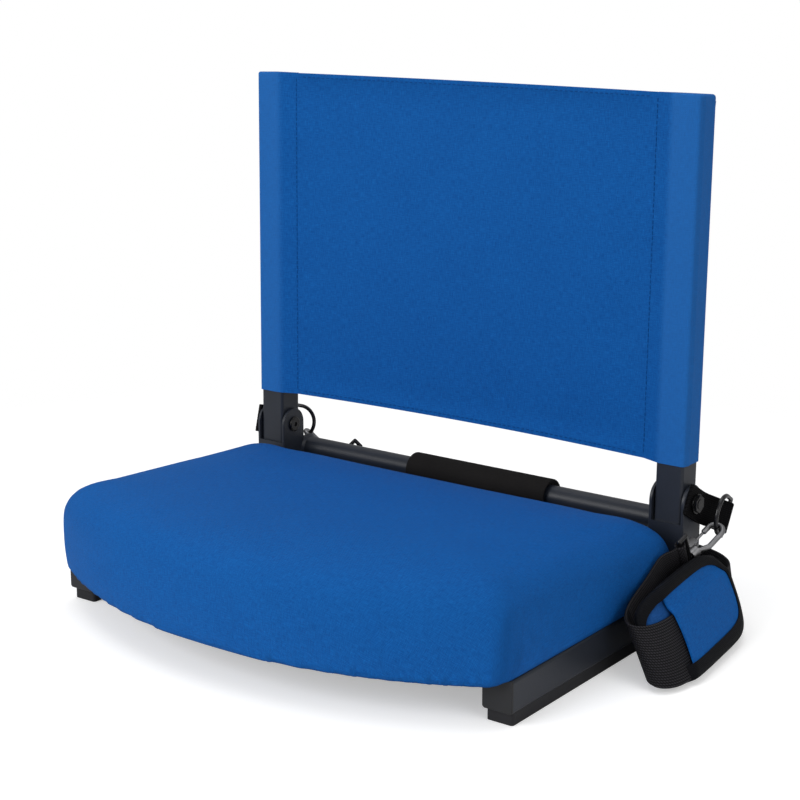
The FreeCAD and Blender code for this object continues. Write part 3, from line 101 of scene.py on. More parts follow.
def make_grain():
    """Fine uneven skin of paint, plastic and rubber: its height, and a slow mottled tone."""
    group, given, result = new_group("fine_grain", (("Vector", "Vector"), ("Grains", "Float")),
                                     (("Height", "Float"), ("Tone", "Float")))
    fine = add_node(group, "ShaderNodeTexNoise", (("Vector", given["Vector"]), ("Scale", given["Grains"])),
                    Detail=3, Roughness=0.6)
    slow = add_node(group, "ShaderNodeTexNoise", (("Vector", given["Vector"]),), Scale=30, Detail=5)
    group.links.new(fine.outputs[0], result["Height"])
    group.links.new(slow.outputs[0], result["Tone"])
    return group


grain = make_grain()


def finish_from(name, group, setting, colours, gloss, depth, specular, metallic=0.0):
    """A finish from a group's height and tone: two colours, two roughnesses and a fine bump.

    The grain lies in the object's own space, and the other groups on a cloth's map in metres.
    """
    material, tree, shader = new_material(name)
    if group is grain:
        place = tree.nodes.new("ShaderNodeTexCoord").outputs["Object"]
    else:
        cloth_map = tree.nodes.new("ShaderNodeUVMap")
        cloth_map.uv_map = "cloth"
        place = cloth_map.outputs["UV"]
    skin = tree.nodes.new("ShaderNodeGroup")
    skin.node_tree = group
    skin.inputs[setting[0]].default_value = setting[1]
    tree.links.new(place, skin.inputs["Vector"])
    tree.links.new(mix_colour(tree, skin.outputs["Tone"], *colours), shader.inputs["Base Color"])
    tree.links.new(stretch(tree, skin.outputs["Tone"], *gloss), shader.inputs["Roughness"])
    bump = add_node(tree, "ShaderNodeBump", (("Height", skin.outputs["Height"]),), Distance=depth)
    tree.links.new(bump.outputs["Normal"], shader.inputs["Normal"])
    shader.inputs["Metallic"].default_value = metallic
    shader.inputs["Specular IOR Level"].default_value = specular
    return material


def grained(name, dark, light, gloss, grains, depth, metallic=0.0, specular=0.5):
    """A hard finish with so many grains in a metre."""
    return finish_from(name, grain, ("Grains", grains), (dark, light), gloss, depth, specular, metallic)


def pair(name):
    return [name + "_right", name + "_left"]


def paint(names, material):
    for name in names:
        for slot in nodes[name].material_slots:
            slot.material = material


powder_coat = grained("powder_coat", (0.009, 0.0115, 0.017), (0.018, 0.022, 0.032), (0.34, 0.48), 1600,
                      0.00006, specular=0.32)
paint(pair("rail") + pair("hinge_bracket") + pair("back_post") + ["cross_tube"], powder_coat)


# Tube plugs, pivot bushes and washers: small moulded parts pressed in by hand.
# Black nylon and polyethylene with the dull, slightly pebbled skin that a mould leaves.

moulded_black = grained("moulded_black", (0.010, 0.010, 0.011), (0.020, 0.021, 0.023), (0.45, 0.6), 900,
                        0.00008, specular=0.3)
paint(pair("rail_plug_front") + pair("rail_plug_rear") + pair("post_plug_top") + pair("post_plug_bottom"),
      moulded_black)
paint(pair("pivot_bush") + ["pivot_washers"], moulded_black)


# Runners: grooved rubber strips under the rails, which grip a bench and spare its finish.
# Extruded black rubber, cut to length and held by screws whose heads are sunk in the strip.

runner_rubber = grained("runner_rubber", (0.009, 0.009, 0.011), (0.020, 0.020, 0.023), (0.55, 0.72), 700,
                        0.0001, specular=0.25)
paint(pair("runner"), runner_rubber)


# Fasteners: wood screws, rivets, staples and the two pivot bolts with their nuts.
# Cold-headed steel; those under the seat are zinc plated, the pivots are blackened.

zinc_plate = grained("zinc_plate", (0.36, 0.36, 0.37), (0.52, 0.52, 0.53), (0.28, 0.45), 1200, 0.00003,
                     metallic=1.0)
paint(["board_screws", "runner_screws", "bracket_rivets", "hem_staples"], zinc_plate)
black_oxide = grained("black_oxide", (0.003, 0.003, 0.004), (0.009, 0.009, 0.010), (0.2, 0.34), 1500,
                      0.00004, metallic=0.4)
paint(pair("pivot_bolt") + pair("pivot_nut"), black_oxide)


# Seat board: the stiff plate under the foam, screwed to both rails.
# Birch plywood with its grain along the seat's width; the cover hides all but its underside.

def make_plywood():
    material, tree, shader = new_material("plywood")
    place = tree.nodes.new("ShaderNodeTexCoord")
    along = add_node(tree, "ShaderNodeMapping", (("Vector", place.outputs["Object"]),), Scale=(6, 90, 90))
    figure = add_node(tree, "ShaderNodeTexNoise", (("Vector", along.outputs["Vector"]),), Scale=3, Detail=6)
    tree.links.new(mix_colour(tree, figure.outputs[0], (0.30, 0.19, 0.10), (0.55, 0.40, 0.24)),
                   shader.inputs["Base Color"])
    tree.links.new(stretch(tree, figure.outputs[0], 0.55, 0.75), shader.inputs["Roughness"])
    return material


paint(["seat_board"], make_plywood())


# Cushion: foam wrapped in a canvas cover that is drawn over the edge and stapled under the board.
# Blue plain-woven polyester, pulled smooth; the foam swells it into a soft rolled edge.

def select_only(obj):
    bpy.ops.object.select_all(action="DESELECT")
    obj.select_set(True)
    bpy.context.view_layer.objects.active = obj


def apply_modifiers(obj):
    select_only(obj)
    for modifier in list(obj.modifiers):
        bpy.ops.object.modifier_apply(modifier=modifier.name)


def add_mesh(name, points, faces, edges=()):
    """A new object at the origin, alone selected."""
    mesh = bpy.data.meshes.new(name)
    mesh.from_pydata([tuple(point) for point in points], list(edges), list(faces))
    obj = bpy.data.objects.new(name, mesh)
    bpy.context.collection.objects.link(obj)
    select_only(obj)
    return obj


def dress(obj, material, body):
    """The finish and the body that carries the piece."""
    obj.data.materials.clear()
    obj.data.materials.append(material)
    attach(obj, body)


def round_off(obj, angle=40):
    """Smooth shading, with sharp edges only where faces meet steeply."""
    select_only(obj)
    bpy.ops.object.shade_smooth_by_angle(angle=math.radians(angle))


def sums_in(group):
    """A function that adds a math node to a group and returns its result."""
    def work(operation, first, second=None):
        node = group.nodes.new("ShaderNodeMath")
        node.operation = operation
        for socket, value in zip(node.inputs, (first, second)):
            if isinstance(value, (int, float)):
                socket.default_value = value
            elif value is not None:
                group.links.new(value, socket)
        return node.outputs[0]

    return work


def make_weave():
    """Plain weave on a map in metres: the height of its threads, and the tone of thick and thin yarns."""
    group, given, result = new_group("plain_weave", (("Vector", "Vector"), ("Threads", "Float")),
                                     (("Height", "Float"), ("Tone", "Float")))
    work = sums_in(group)
    parts = add_node(group, "ShaderNodeSeparateXYZ", (("Vector", given["Vector"]),)).outputs
    turn = work("MULTIPLY", given["Threads"], math.pi)
    warp = work("SINE", work("MULTIPLY", parts["X"], turn))
    weft = work("SINE", work("MULTIPLY", parts["Y"], turn))
    over = work("GREATER_THAN", work("MULTIPLY", warp, weft), 0.0)
    warp_height = work("MULTIPLY", work("ABSOLUTE", warp), over)
    weft_height = work("MULTIPLY", work("ABSOLUTE", weft), work("SUBTRACT", 1.0, over))
    group.links.new(work("ADD", warp_height, weft_height), result["Height"])
    tones = []
    along_yarn, across_yarn, streak_share, cloud_share = 170, 1500, 0.46, 0.08
    for scale in ((along_yarn, across_yarn, 1), (across_yarn, along_yarn, 1)):
        drawn = add_node(group, "ShaderNodeMapping", (("Vector", given["Vector"]),), Scale=scale)
        yarn = add_node(group, "ShaderNodeTexNoise", (("Vector", drawn.outputs["Vector"]),),
                        Scale=1, Detail=2)
        tones.append(yarn.outputs[0])
    cloud = add_node(group, "ShaderNodeTexNoise", (("Vector", given["Vector"]),), Scale=22, Detail=4)
    streaks = work("MULTIPLY", work("ADD", *tones), streak_share)
    mixed = work("ADD", streaks, work("MULTIPLY", cloud.outputs[0], cloud_share))
    contrast = add_node(group, "ShaderNodeMapRange", (("Value", mixed),), From_Min=0.34, From_Max=0.66)
    group.links.new(contrast.outputs["Result"], result["Tone"])
    return group


weave = make_weave()


WOVEN_GLOSS = (0.72, 0.88)
WOVEN_SPECULAR = 0.12


def woven(name, dark, light, threads, depth):
    """Dull plain-woven cloth with so many threads in a metre."""
    return finish_from(name, weave, ("Threads", threads), (dark, light), WOVEN_GLOSS, depth, WOVEN_SPECULAR)


canvas_blue = woven("canvas_blue", (0.000, 0.064, 0.270), (0.006, 0.124, 0.440), 1250.0, 0.0002)


def lay_map(obj, places):
    """The cloth's map in metres, with one place for each point of the mesh."""
    cloth_map = obj.data.uv_layers.new(name="cloth")
    for loop in obj.data.loops:
        cloth_map.data[loop.index].uv = places[loop.vertex_index]


def edit_mode(choice):
    """Opens the active mesh for editing with all of it or none of it chosen."""
    bpy.ops.object.mode_set(mode="EDIT")
    bpy.ops.mesh.select_all(action=choice)


def object_mode():
    bpy.ops.object.mode_set(mode="OBJECT")


def choose_none():
    edit_mode("DESELECT")
    object_mode()


SMALLEST = 1e-9


def swell(obj, held_below, pressure, cap):
    """Inflates a closed cloth skin, held at its bottom; no point moves further than a cap."""
    scene = bpy.context.scene
    held = obj.vertex_groups.new(name="held")
    held.add([vertex.index for vertex in obj.data.vertices if vertex.co.z < held_below], 1.0, "REPLACE")
    cloth = obj.modifiers.new("swell", "CLOTH")
    cloth.settings.vertex_group_mass = "held"
    cloth.settings.quality = 4
    cloth.settings.tension_stiffness = 20
    cloth.settings.compression_stiffness = 20
    cloth.settings.bending_stiffness = 2
    cloth.settings.use_pressure = True
    cloth.settings.uniform_pressure_force = pressure
    cloth.settings.effector_weights.gravity = 0
    settled = 20
    for step in range(1, settled + 1):
        scene.frame_set(step)
    moved = obj.evaluated_get(bpy.context.evaluated_depsgraph_get()).to_mesh()
    for before, after in zip(obj.data.vertices, moved.vertices):
        shift = after.co - before.co
        before.co += shift * min(1.0, cap / max(shift.length, SMALLEST))
    obj.modifiers.remove(cloth)
    obj.vertex_groups.clear()
    scene.frame_set(1)


FRONT_BOW = 0.394
RAIL_FRONT = -0.106
RIM_FLAT = 0.0045
RIM_HELD = 0.006
RIM_TOP = 0.010
RIM_SAG = 0.0035
SAG_NEAR, SAG_FAR, SAG_HEIGHT = 0.006, 0.026, 0.040
SAG_START, SAG_END = RAIL_FRONT - 0.014, RAIL_FRONT - 0.004
SWELL_PRESSURE = 3.0
SWELL_MOST = 0.001


def rise(value, low, high):
    """A smooth step from 0 to 1 between two values."""
    share = min(1.0, max(0.0, (value - low) / (high - low)))
    return share * share * (3 - 2 * share)


def make_cushion():
    """Evens the cover's skin, swells it and lets its front rim sag where no rail carries it."""
    low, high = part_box("seat_cover")
    obj = bpy.data.objects.new("seat_cushion", nodes["seat_cover"].data.copy())
    bpy.context.collection.objects.link(obj)
    select_only(obj)
    edit_mode("SELECT")
    bpy.ops.mesh.remove_doubles(threshold=0.00001)
    bpy.ops.mesh.convex_hull()
    object_mode()
    even = obj.modifiers.new("even_faces", "REMESH")
    even.mode = "VOXEL"
    even.voxel_size = 0.005
    apply_modifiers(obj)
    for vertex in obj.data.vertices:
        if vertex.co.z < low[2] + RIM_FLAT:
            vertex.co.z = low[2]
    upper = obj.vertex_groups.new(name="upper")
    above = [vertex.index for vertex in obj.data.vertices if vertex.co.z > low[2] + RIM_TOP]
    upper.add(above, 1.0, "REPLACE")
    soft = obj.modifiers.new("soft_edges", "SMOOTH")
    soft.iterations = 6
    soft.vertex_group = "upper"
    level = obj.modifiers.new("even_rim", "SMOOTH")
    level.iterations = 8
    level.use_z = False
    level.vertex_group = "upper"
    level.invert_vertex_group = True
    apply_modifiers(obj)
    obj.vertex_groups.clear()
    swell(obj, low[2] + RIM_HELD, SWELL_PRESSURE, SWELL_MOST)
    for vertex in obj.data.vertices:
        x, y, z = vertex.co
        inside = y - low[1] - FRONT_BOW + math.sqrt(FRONT_BOW ** 2 - x ** 2)
        loose = (1 - rise(inside, SAG_NEAR, SAG_FAR)) * (1 - rise(y, SAG_START, SAG_END))
        vertex.co.z -= RIM_SAG * loose * (1 - rise(z, low[2], low[2] + SAG_HEIGHT))
    fine = obj.modifiers.new("fine_faces", "SUBSURF")
    fine.levels = 1
    fine.render_levels = 1
    apply_modifiers(obj)
    drawn_over = []
    for vertex in obj.data.vertices:
        drawn_over.append(vertex.co.xy + vertex.normal.xy * max(0.0, high[2] - vertex.co.z))
    lay_map(obj, drawn_over)
    select_only(obj)
    bpy.ops.object.shade_smooth()
    return obj


cushion = make_cushion()
dress(cushion, canvas_blue, "seat_frame")
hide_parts("seat_cover", "seat_foam")


# Under-cloth: a thin dust cloth stapled below the board, which closes the seat from underneath.
# Black spun-bonded fabric, cut to the board's outline and left a little slack.

CLOTH_INSET = 0.029
CLOTH_SAG = 0.0022
CLOTH_GAP = 0.0008
CLOTH_WALL = 0.0005


def thicken(obj, wall):
    """Gives a cloth surface its wall, behind its face."""
    solid = obj.modifiers.new("wall", "SOLIDIFY")
    solid.thickness = wall
    solid.offset = -1
    apply_modifiers(obj)


def make_under_cloth():
    """A thin sheet with a bowed front that hangs a little in its middle; also its width and depth."""
    low, high = (Vector(corner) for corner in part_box("under_cloth"))
    bow_radius = FRONT_BOW - CLOTH_INSET
    bpy.ops.mesh.primitive_grid_add(x_subdivisions=48, y_subdivisions=32, size=1, calc_uvs=False)
    obj = bpy.context.object
    obj.name = "under_cloth_sheet"
    for vertex in obj.data.vertices:
        across, back = vertex.co.x + 0.5, vertex.co.y + 0.5
        x = low.x + (high.x - low.x) * across
        front = low.y + bow_radius - math.sqrt(bow_radius ** 2 - x ** 2)
        sag = CLOTH_SAG * math.sin(math.pi * across) * math.sin(math.pi * back)
        vertex.co = (x, front + (high.y - front) * back, low.z - CLOTH_GAP - sag)
    lay_map(obj, [vertex.co.xy for vertex in obj.data.vertices])
    thicken(obj, CLOTH_WALL)
    round_off(obj)
    return obj, (high.x - low.x, high.y - low.y)


under_cloth, under_size = make_under_cloth()
under_cloth_black = woven("under_cloth_black", (0.006, 0.006, 0.006), (0.016, 0.016, 0.016), 900.0, 0.0001)
dress(under_cloth, under_cloth_black, "seat_frame")
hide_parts("under_cloth")


# Back sling: one canvas panel with a closed pocket at each side that slips over a post.
# The same blue canvas, hemmed along its top and bottom and sewn down beside each post.

PIVOT = Vector(frame["record"]["behaviour"]["joints"][0]["pos_m"])
BACK_LEAN = math.radians(0.8)
SLING_BOTTOM = 0.1304
SLING_TOP = 0.4156
SLING_WALL = 0.0008
SEAM_X = 0.1775
SEAM_Y = PIVOT.y - 0.006
PANEL_BOW = 0.009
POCKET_INNER = 0.1902
POCKET_OUTER = 0.2161
POCKET_FRONT = PIVOT.y - 0.0131
POCKET_BACK = PIVOT.y + 0.0131
POCKET_CORNER = 0.1935
POCKET_FOLD = 0.0010
FOLD_START, FOLD_RIDGE, FOLD_END = 0.0035, 0.0065, 0.0105
FOLD_SPAN = (0.001, 0.012)
FOLD_REACH = 0.002
POCKET_ROUND = 0.0026
CAP_SLOPE = 0.0010
HEM = 0.0055
HEM_PROUD = 0.00025
HEM_STEP = 0.0005
HEM_SLACK = 0.0001
ROW_PITCH = 0.02
SEAM_CLEAR = 0.001
CLOSE = 1e-5
STEEP = 0.7


def lean_back(obj):
    """Tips a piece of the back about the pivot axis, as the posts lean."""
    turn = Matrix.Translation(PIVOT) @ Matrix.Rotation(-BACK_LEAN, 4, "X") @ Matrix.Translation(-PIVOT)
    obj.data.transform(turn)


def panel_y(x):
    """Where the panel's front lies at a place across the seat; it bows to the rear between the posts."""
    return SEAM_Y - SLING_WALL + PANEL_BOW * (1 - (x / SEAM_X) ** 2)


def make_sling():
    """Draws the sling's plan, raises it, closes and rounds the pockets' tops and gives the cloth its wall."""
    pocket = ((SEAM_X, SEAM_Y + SLING_WALL), (POCKET_INNER, POCKET_BACK), (POCKET_OUTER, POCKET_BACK),
              (POCKET_OUTER, POCKET_FRONT + FOLD_END),
              (POCKET_OUTER + POCKET_FOLD, POCKET_FRONT + FOLD_RIDGE),
              (POCKET_OUTER, POCKET_FRONT + FOLD_START), (POCKET_OUTER, POCKET_FRONT),
              (POCKET_CORNER, POCKET_FRONT))
    steps = 28
    panel = [SEAM_X - 2 * SEAM_X * step / steps for step in range(steps + 1)]
    plan = list(pocket) + [(x, panel_y(x)) for x in panel] + [(-x, y) for x, y in reversed(pocket)]
    obj = add_mesh("back_sling_cloth", [(x, y, SLING_BOTTOM) for x, y in plan], (),
                   [(index, index + 1) for index in range(len(plan) - 1)])
    edit_mode("SELECT")
    bpy.ops.mesh.extrude_region_move(TRANSFORM_OT_translate={"value": (0, 0, SLING_TOP - SLING_BOTTOM)})
    object_mode()
    mesh = obj.data
    for sign in (1, -1):
        choose_none()
        for vertex in mesh.vertices:
            vertex.select = vertex.co.z > SLING_TOP - CLOSE and sign * vertex.co.x > SEAM_X - CLOSE
        bpy.ops.object.mode_set(mode="EDIT")
        bpy.ops.mesh.select_mode(type="VERT")
        bpy.ops.mesh.edge_face_add()
        object_mode()
    choose_none()
    for edge in mesh.edges:
        ends = [mesh.vertices[index].co for index in edge.vertices]
        in_cap = [end.z > SLING_TOP - CLOSE for end in ends]
        behind_front = ends[0].y - POCKET_FRONT
        in_fold = (abs(abs(ends[0].x) - POCKET_OUTER) < FOLD_REACH
                   and FOLD_SPAN[0] < behind_front < FOLD_SPAN[1])
        edge.select = all(abs(end.x) > SEAM_X + SEAM_CLEAR for end in ends) and any(in_cap)
        if in_fold and not all(in_cap):
            edge.select = False
    bpy.ops.object.mode_set(mode="EDIT")
    bpy.ops.mesh.select_mode(type="EDGE")
    bpy.ops.mesh.bevel(offset=POCKET_ROUND, segments=4, affect="EDGES")
    rows = [SLING_BOTTOM + HEM, SLING_TOP - HEM]
    rows += [SLING_BOTTOM + HEM + HEM_STEP, SLING_TOP - HEM - HEM_STEP]
    rows += [SLING_BOTTOM + ROW_PITCH * step for step in range(1, 14)]
    for height in rows:
        bpy.ops.mesh.select_all(action="SELECT")
        bpy.ops.mesh.bisect(plane_co=(0, 0, height), plane_no=(0, 0, 1))
    bpy.ops.mesh.select_all(action="SELECT")
    bpy.ops.mesh.normals_make_consistent(inside=False)
    object_mode()
    for vertex in mesh.vertices:
        in_hem = not SLING_BOTTOM + HEM + HEM_SLACK < vertex.co.z < SLING_TOP - HEM - HEM_SLACK
        if in_hem and abs(vertex.co.x) < SEAM_X - SEAM_CLEAR:
            vertex.co.y -= HEM_PROUD
        if vertex.co.z > SLING_TOP - HEM and abs(vertex.co.x) > SEAM_X + SEAM_CLEAR:
            vertex.co.z -= CAP_SLOPE * (vertex.co.y - POCKET_FRONT) / (POCKET_BACK - POCKET_FRONT)
    middle = [face for face in mesh.polygons if abs(face.center.x) < ROW_PITCH]
    if sum(face.normal.y for face in middle) > 0:
        mesh.flip_normals()
    thicken(obj, SLING_WALL)
    cloth_map = mesh.uv_layers.new(name="cloth")
    for face in mesh.polygons:
        sideways = abs(face.normal.x) > STEEP
        upright = abs(face.normal.z) < STEEP
        for index in face.loop_indices:
            co = mesh.vertices[mesh.loops[index].vertex_index].co
            cloth_map.data[index].uv = (co.y if sideways else co.x, co.z if upright else co.y)
    lean_back(obj)
    round_off(obj, 35)
    return obj


# Painted sheen on the sling's pockets: where it starts and where it is full across the seat, how much of it
# is mixed in, and its pale blue
PAINTED_SHEEN_START, PAINTED_SHEEN_FULL = POCKET_CORNER - 0.006, POCKET_CORNER + 0.002
PAINTED_SHEEN_SHARE = 0.4
PAINTED_SHEEN_BLUE = (0.030, 0.170, 0.500)


def make_sling_canvas():
    """The canvas, mixed towards a paler, whiter blue over the pockets round the posts: a painted sheen."""
    material = canvas_blue.copy()
    material.name = "canvas_sling"
    tree = material.node_tree
    place = tree.nodes.new("ShaderNodeTexCoord")
    parts = add_node(tree, "ShaderNodeSeparateXYZ", (("Vector", place.outputs["Object"]),)).outputs
    across = sums_in(tree)("ABSOLUTE", parts["X"])
    # The painted sheen: a mask that is 0 on the panel and rises to its share over the pockets
    painted_sheen = add_node(tree, "ShaderNodeMapRange", (("Value", across),), From_Min=PAINTED_SHEEN_START,
                       From_Max=PAINTED_SHEEN_FULL, To_Max=PAINTED_SHEEN_SHARE)
    painted_sheen.interpolation_type = "SMOOTHSTEP"
    base = tree.nodes["Principled BSDF"].inputs["Base Color"]
    plain = base.links[0].from_socket
    tree.links.new(mix_colour(tree, painted_sheen.outputs["Result"], plain, PAINTED_SHEEN_BLUE), base)
    return material


sling = make_sling()
dress(sling, make_sling_canvas(), "backrest")
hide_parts("back_sling")


# Sling stitches: lockstitch rows beside both pockets and along both hems.
# Bonded polyester thread, one shade darker than the canvas, pulled a little into the cloth.

STITCH = 0.0030
STITCH_PITCH = 0.0042
THREAD = 0.00045
THREAD_SIDES = 6
# Each row is a share of the stitch's length and of the thread's radius
STITCH_FORM = ((-0.5, 0.3), (-0.34, 1), (0.34, 1), (0.5, 0.3))


def tube(base, rings, count, capped=True):
    """Faces between closed rings of points that follow one another, and over the first and last ring."""
    faces = []
    for ring in range(rings - 1):
        first = base + ring * count
        second = first + count
        for turn in range(count):
            after = (turn + 1) % count
            faces.append((first + turn, first + after, second + after, second + turn))
    if capped:
        last = base + (rings - 1) * count
        faces.append(tuple(reversed(range(base, base + count))))
        faces.append(tuple(range(last, last + count)))
    return faces


def stitches(name, rows):
    """Short threads along rows of points, on cloth that faces the front."""
    out = Vector((0, -1, 0))
    points, faces = [], []
    for row in rows:
        for start, after in zip(row, row[1:]):
            count = max(1, round((after - start).length / STITCH_PITCH))
            ahead = (after - start).normalized()
            across = ahead.cross(out).normalized()
            for number in range(count):
                middle = start.lerp(after, (number + 0.5) / count)
                base = len(points)
                for along, size in STITCH_FORM:
                    for turn in range(THREAD_SIDES):
                        angle = turn * 2 * math.pi / THREAD_SIDES
                        ring = across * math.cos(angle) + out * math.sin(angle)
                        points.append(middle + ahead * (along * STITCH) + ring * (size * THREAD))
                faces += tube(base, len(STITCH_FORM), THREAD_SIDES)
    obj = add_mesh(name, points, faces)
    round_off(obj, 60)
    return obj


SEAM_INSET = 0.0006
SEAM_END = 0.004
HEM_ROW = 0.002
HEM_END = 0.007
THREAD_PROUD = 0.0001


def make_sling_stitches():
    rows = []
    for x in (SEAM_X - SEAM_INSET, SEAM_INSET - SEAM_X):
        y = panel_y(x) - THREAD_PROUD
        rows.append([Vector((x, y, z)) for z in (SLING_BOTTOM + SEAM_END, SLING_TOP - SEAM_END)])
    for z in (SLING_BOTTOM + HEM - HEM_ROW, SLING_TOP - HEM + HEM_ROW):
        steps = 24
        reach = SEAM_X - HEM_END
        xs = [reach - 2 * reach * step / steps for step in range(steps + 1)]
        rows.append([Vector((x, panel_y(x) - HEM_PROUD - THREAD_PROUD, z)) for x in xs])
    obj = stitches("sling_stitches", rows)
    lean_back(obj)
    return obj


thread_blue = grained("thread_blue", (0.000, 0.044, 0.18), (0.004, 0.076, 0.29), (0.7, 0.85), 2500, 0.00005,
                      specular=0.1)
sling_stitches = make_sling_stitches()
dress(sling_stitches, thread_blue, "backrest")


# Carry grip: a sleeve pushed over the middle of the cross tube, where the seat is carried.
# Black closed-cell foam rubber with a dull skin, cut square and rounded over at its ends.

GRIP_SHIFT = 0.005
GRIP_WALL = 0.0046
GRIP_HOLLOW = 0.004
GRIP_ROUND = 0.0025
GRIP_SLACK = 0.001
OUTERMOST = 1e-4


def make_grip():
    """A sleeve with hollow ends round the tube and rounded outer edges."""
    low, high = (Vector(corner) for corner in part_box("grip"))
    low.x, high.x = low.x + GRIP_SHIFT, high.x + GRIP_SHIFT
    middle = (low + high) / 2
    radius = (high.z - low.z) / 2
    bpy.ops.mesh.primitive_cylinder_add(vertices=64, radius=radius, depth=high.x - low.x, location=middle,
                                        rotation=(0, math.pi / 2, 0))
    obj = bpy.context.object
    obj.name = "carry_grip"
    bpy.ops.object.transform_apply(location=True, rotation=True, scale=True)
    choose_none()
    for face in obj.data.polygons:
        face.select = abs(face.normal.x) > 0.9
    bpy.ops.object.mode_set(mode="EDIT")
    bpy.ops.mesh.select_mode(type="FACE")
    bpy.ops.mesh.inset(thickness=GRIP_WALL, use_individual=True)
    object_mode()
    for vertex in obj.data.vertices:
        if (vertex.co - middle).yz.length < radius - GRIP_SLACK:
            vertex.co.x -= math.copysign(GRIP_HOLLOW, vertex.co.x - middle.x)
    choose_none()
    for edge in obj.data.edges:
        ends = [obj.data.vertices[index].co for index in edge.vertices]
        at_end = all(abs(abs(end.x - middle.x) - (high.x - low.x) / 2) < CLOSE for end in ends)
        edge.select = at_end and all((end - middle).yz.length > radius - OUTERMOST for end in ends)
    bpy.ops.object.mode_set(mode="EDIT")
    bpy.ops.mesh.select_mode(type="EDGE")
    bpy.ops.mesh.bevel(offset=GRIP_ROUND, segments=5, affect="EDGES")
    object_mode()
    round_off(obj, 50)
    return obj


grip = make_grip()
grip_foam = grained("grip_foam", (0.0035, 0.003, 0.003), (0.011, 0.010, 0.010), (0.75, 0.9), 420, 0.0004,
                    specular=0.12)
dress(grip, grip_foam, "seat_frame")
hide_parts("grip")


# Hooks, swivel eyes, gates and D-rings: the hardware that clips the strap to the frame.
# Hooks and gates are zinc die castings with a dull grey plating.
# The rings and swivel eyes are bent steel wire in black enamel.

hook_metal = grained("hook_metal", (0.16, 0.16, 0.165), (0.30, 0.30, 0.31), (0.3, 0.48), 1500, 0.00004,
                     metallic=1.0)
paint(pair("snap_hook") + pair("hook_gate"), hook_metal)
ring_black = grained("ring_black", (0.004, 0.004, 0.005), (0.014, 0.014, 0.016), (0.16, 0.3), 1500, 0.00003,
                     metallic=0.3)
paint(pair("d_ring") + pair("hook_eye"), ring_black)


# Strap slider: the adjuster that takes up the strap behind the seat.
# Moulded black acetal, with two windows that the webbing is threaded through.

paint(["strap_slider"], moulded_black)


# Strap webbing: one length from the right hook round the shoulder pad and behind the seat to the left hook.
# Black ribbed polypropylene webbing, looped round each hook's eye and sewn back on itself.

STRAP_WIDTH = 0.048
STRAP_WALL = 0.002
EYE_BAR = 0.0018
LOOP_GAP = 0.0004
LOOP_START, LOOP_SWEEP, LOOP_STEPS = 15, 330, 24
# Each eye has its middle, the way the strap pulls from it and the way along its bar
EYES = {
    "right": (Vector((0.22574, 0.11929, 0.05770)), Vector((-0.2169, -0.8386, -0.4997)),
              Vector((0.1229, -0.5313, 0.8382))),
    "left": (Vector((-0.17432, 0.19708, 0.05037)), Vector((0.6352, 0.3349, -0.6959)),
             Vector((0.5918, 0.3679, 0.7172))),
}
# Each row is a point on the webbing's middle line and the direction of its upper edge
ROUTE = (
    (0.225, 0.1166, 0.0561, 0.12, -0.53, 0.84),
    (0.2244, 0.1139, 0.0545, 0.12, -0.53, 0.84),
    (0.2215, 0.1, 0.0505, -0.02, -0.4, 0.91),
    (0.2245, 0.084, 0.044, -0.08, -0.34, 0.93),
    (0.229, 0.065, 0.038, -0.18, -0.26, 0.94),
    (0.233, 0.045, 0.0324, -0.3, -0.14, 0.93),
    (0.2375, 0.028, 0.0282, -0.42, 0.02, 0.9),
    (0.2435, 0.015, 0.0254, -0.5, 0.14, 0.85),
    (0.253, 0.0085, 0.024, -0.55, 0.2, 0.81),
    (0.262, 0.0125, 0.0239, -0.54, 0.16, 0.83),
    (0.2674, 0.023, 0.0244, -0.51, 0.08, 0.86),
    (0.2688, 0.038, 0.0252, -0.48, 0.02, 0.88),
    (0.2676, 0.056, 0.0262, -0.46, 0, 0.89),
    (0.2653, 0.078, 0.027, -0.46, 0, 0.89),
    (0.263, 0.1, 0.0274, -0.46, 0, 0.89),
    (0.2606, 0.121, 0.0274, -0.46, 0, 0.89),
    (0.2576, 0.141, 0.027, -0.44, 0, 0.9),
    (0.2526, 0.157, 0.0258, -0.3, 0, 0.95),
    (0.243, 0.17, 0.0245, -0.12, 0, 0.99),
    (0.232, 0.181, 0.0244, -0.03, 0, 1),
    (0.216, 0.19, 0.0244, 0, 0, 1),
    (0.195, 0.196, 0.0244, 0, 0, 1),
    (0.168, 0.2, 0.0244, 0, 0, 1),
    (0.136, 0.203, 0.0248, 0, 0, 1),
    (0.102, 0.2054, 0.026, 0, 0, 1),
    (0.066, 0.207, 0.028, 0, 0, 1),
    (0.03, 0.208, 0.0292, 0, 0, 1),
    (-0.006, 0.2084, 0.0292, 0, 0, 1),
    (-0.04, 0.2084, 0.0276, 0, 0, 1),
    (-0.07, 0.208, 0.0258, 0, 0, 1),
    (-0.094, 0.2074, 0.0248, 0.01, 0, 1),
    (-0.115, 0.2064, 0.0247, 0.06, 0, 1),
    (-0.133, 0.2052, 0.0254, 0.18, 0.06, 0.98),
    (-0.148, 0.2034, 0.0284, 0.38, 0.16, 0.91),
    (-0.1595, 0.2002, 0.035, 0.53, 0.29, 0.8),
    (-0.1702, 0.1992, 0.0459, 0.59, 0.37, 0.72),
    (-0.1723, 0.1981, 0.0481, 0.59, 0.37, 0.72),
)


def smooth_line(name, controls):
    """Points along a smooth curve that has these control points."""
    curve = bpy.data.curves.new(name, "CURVE")
    curve.dimensions = "3D"
    spline = curve.splines.new("NURBS")
    spline.points.add(len(controls) - 1)
    for point, place in zip(spline.points, controls):
        point.co = (*place, 1)
    spline.order_u = 3
    spline.use_endpoint_u = True
    spline.resolution_u = 8
    holder = bpy.data.objects.new(name, curve)
    mesh = bpy.data.meshes.new_from_object(holder)
    points = [vertex.co.copy() for vertex in mesh.vertices]
    bpy.data.objects.remove(holder)
    bpy.data.curves.remove(curve)
    bpy.data.meshes.remove(mesh)
    return points


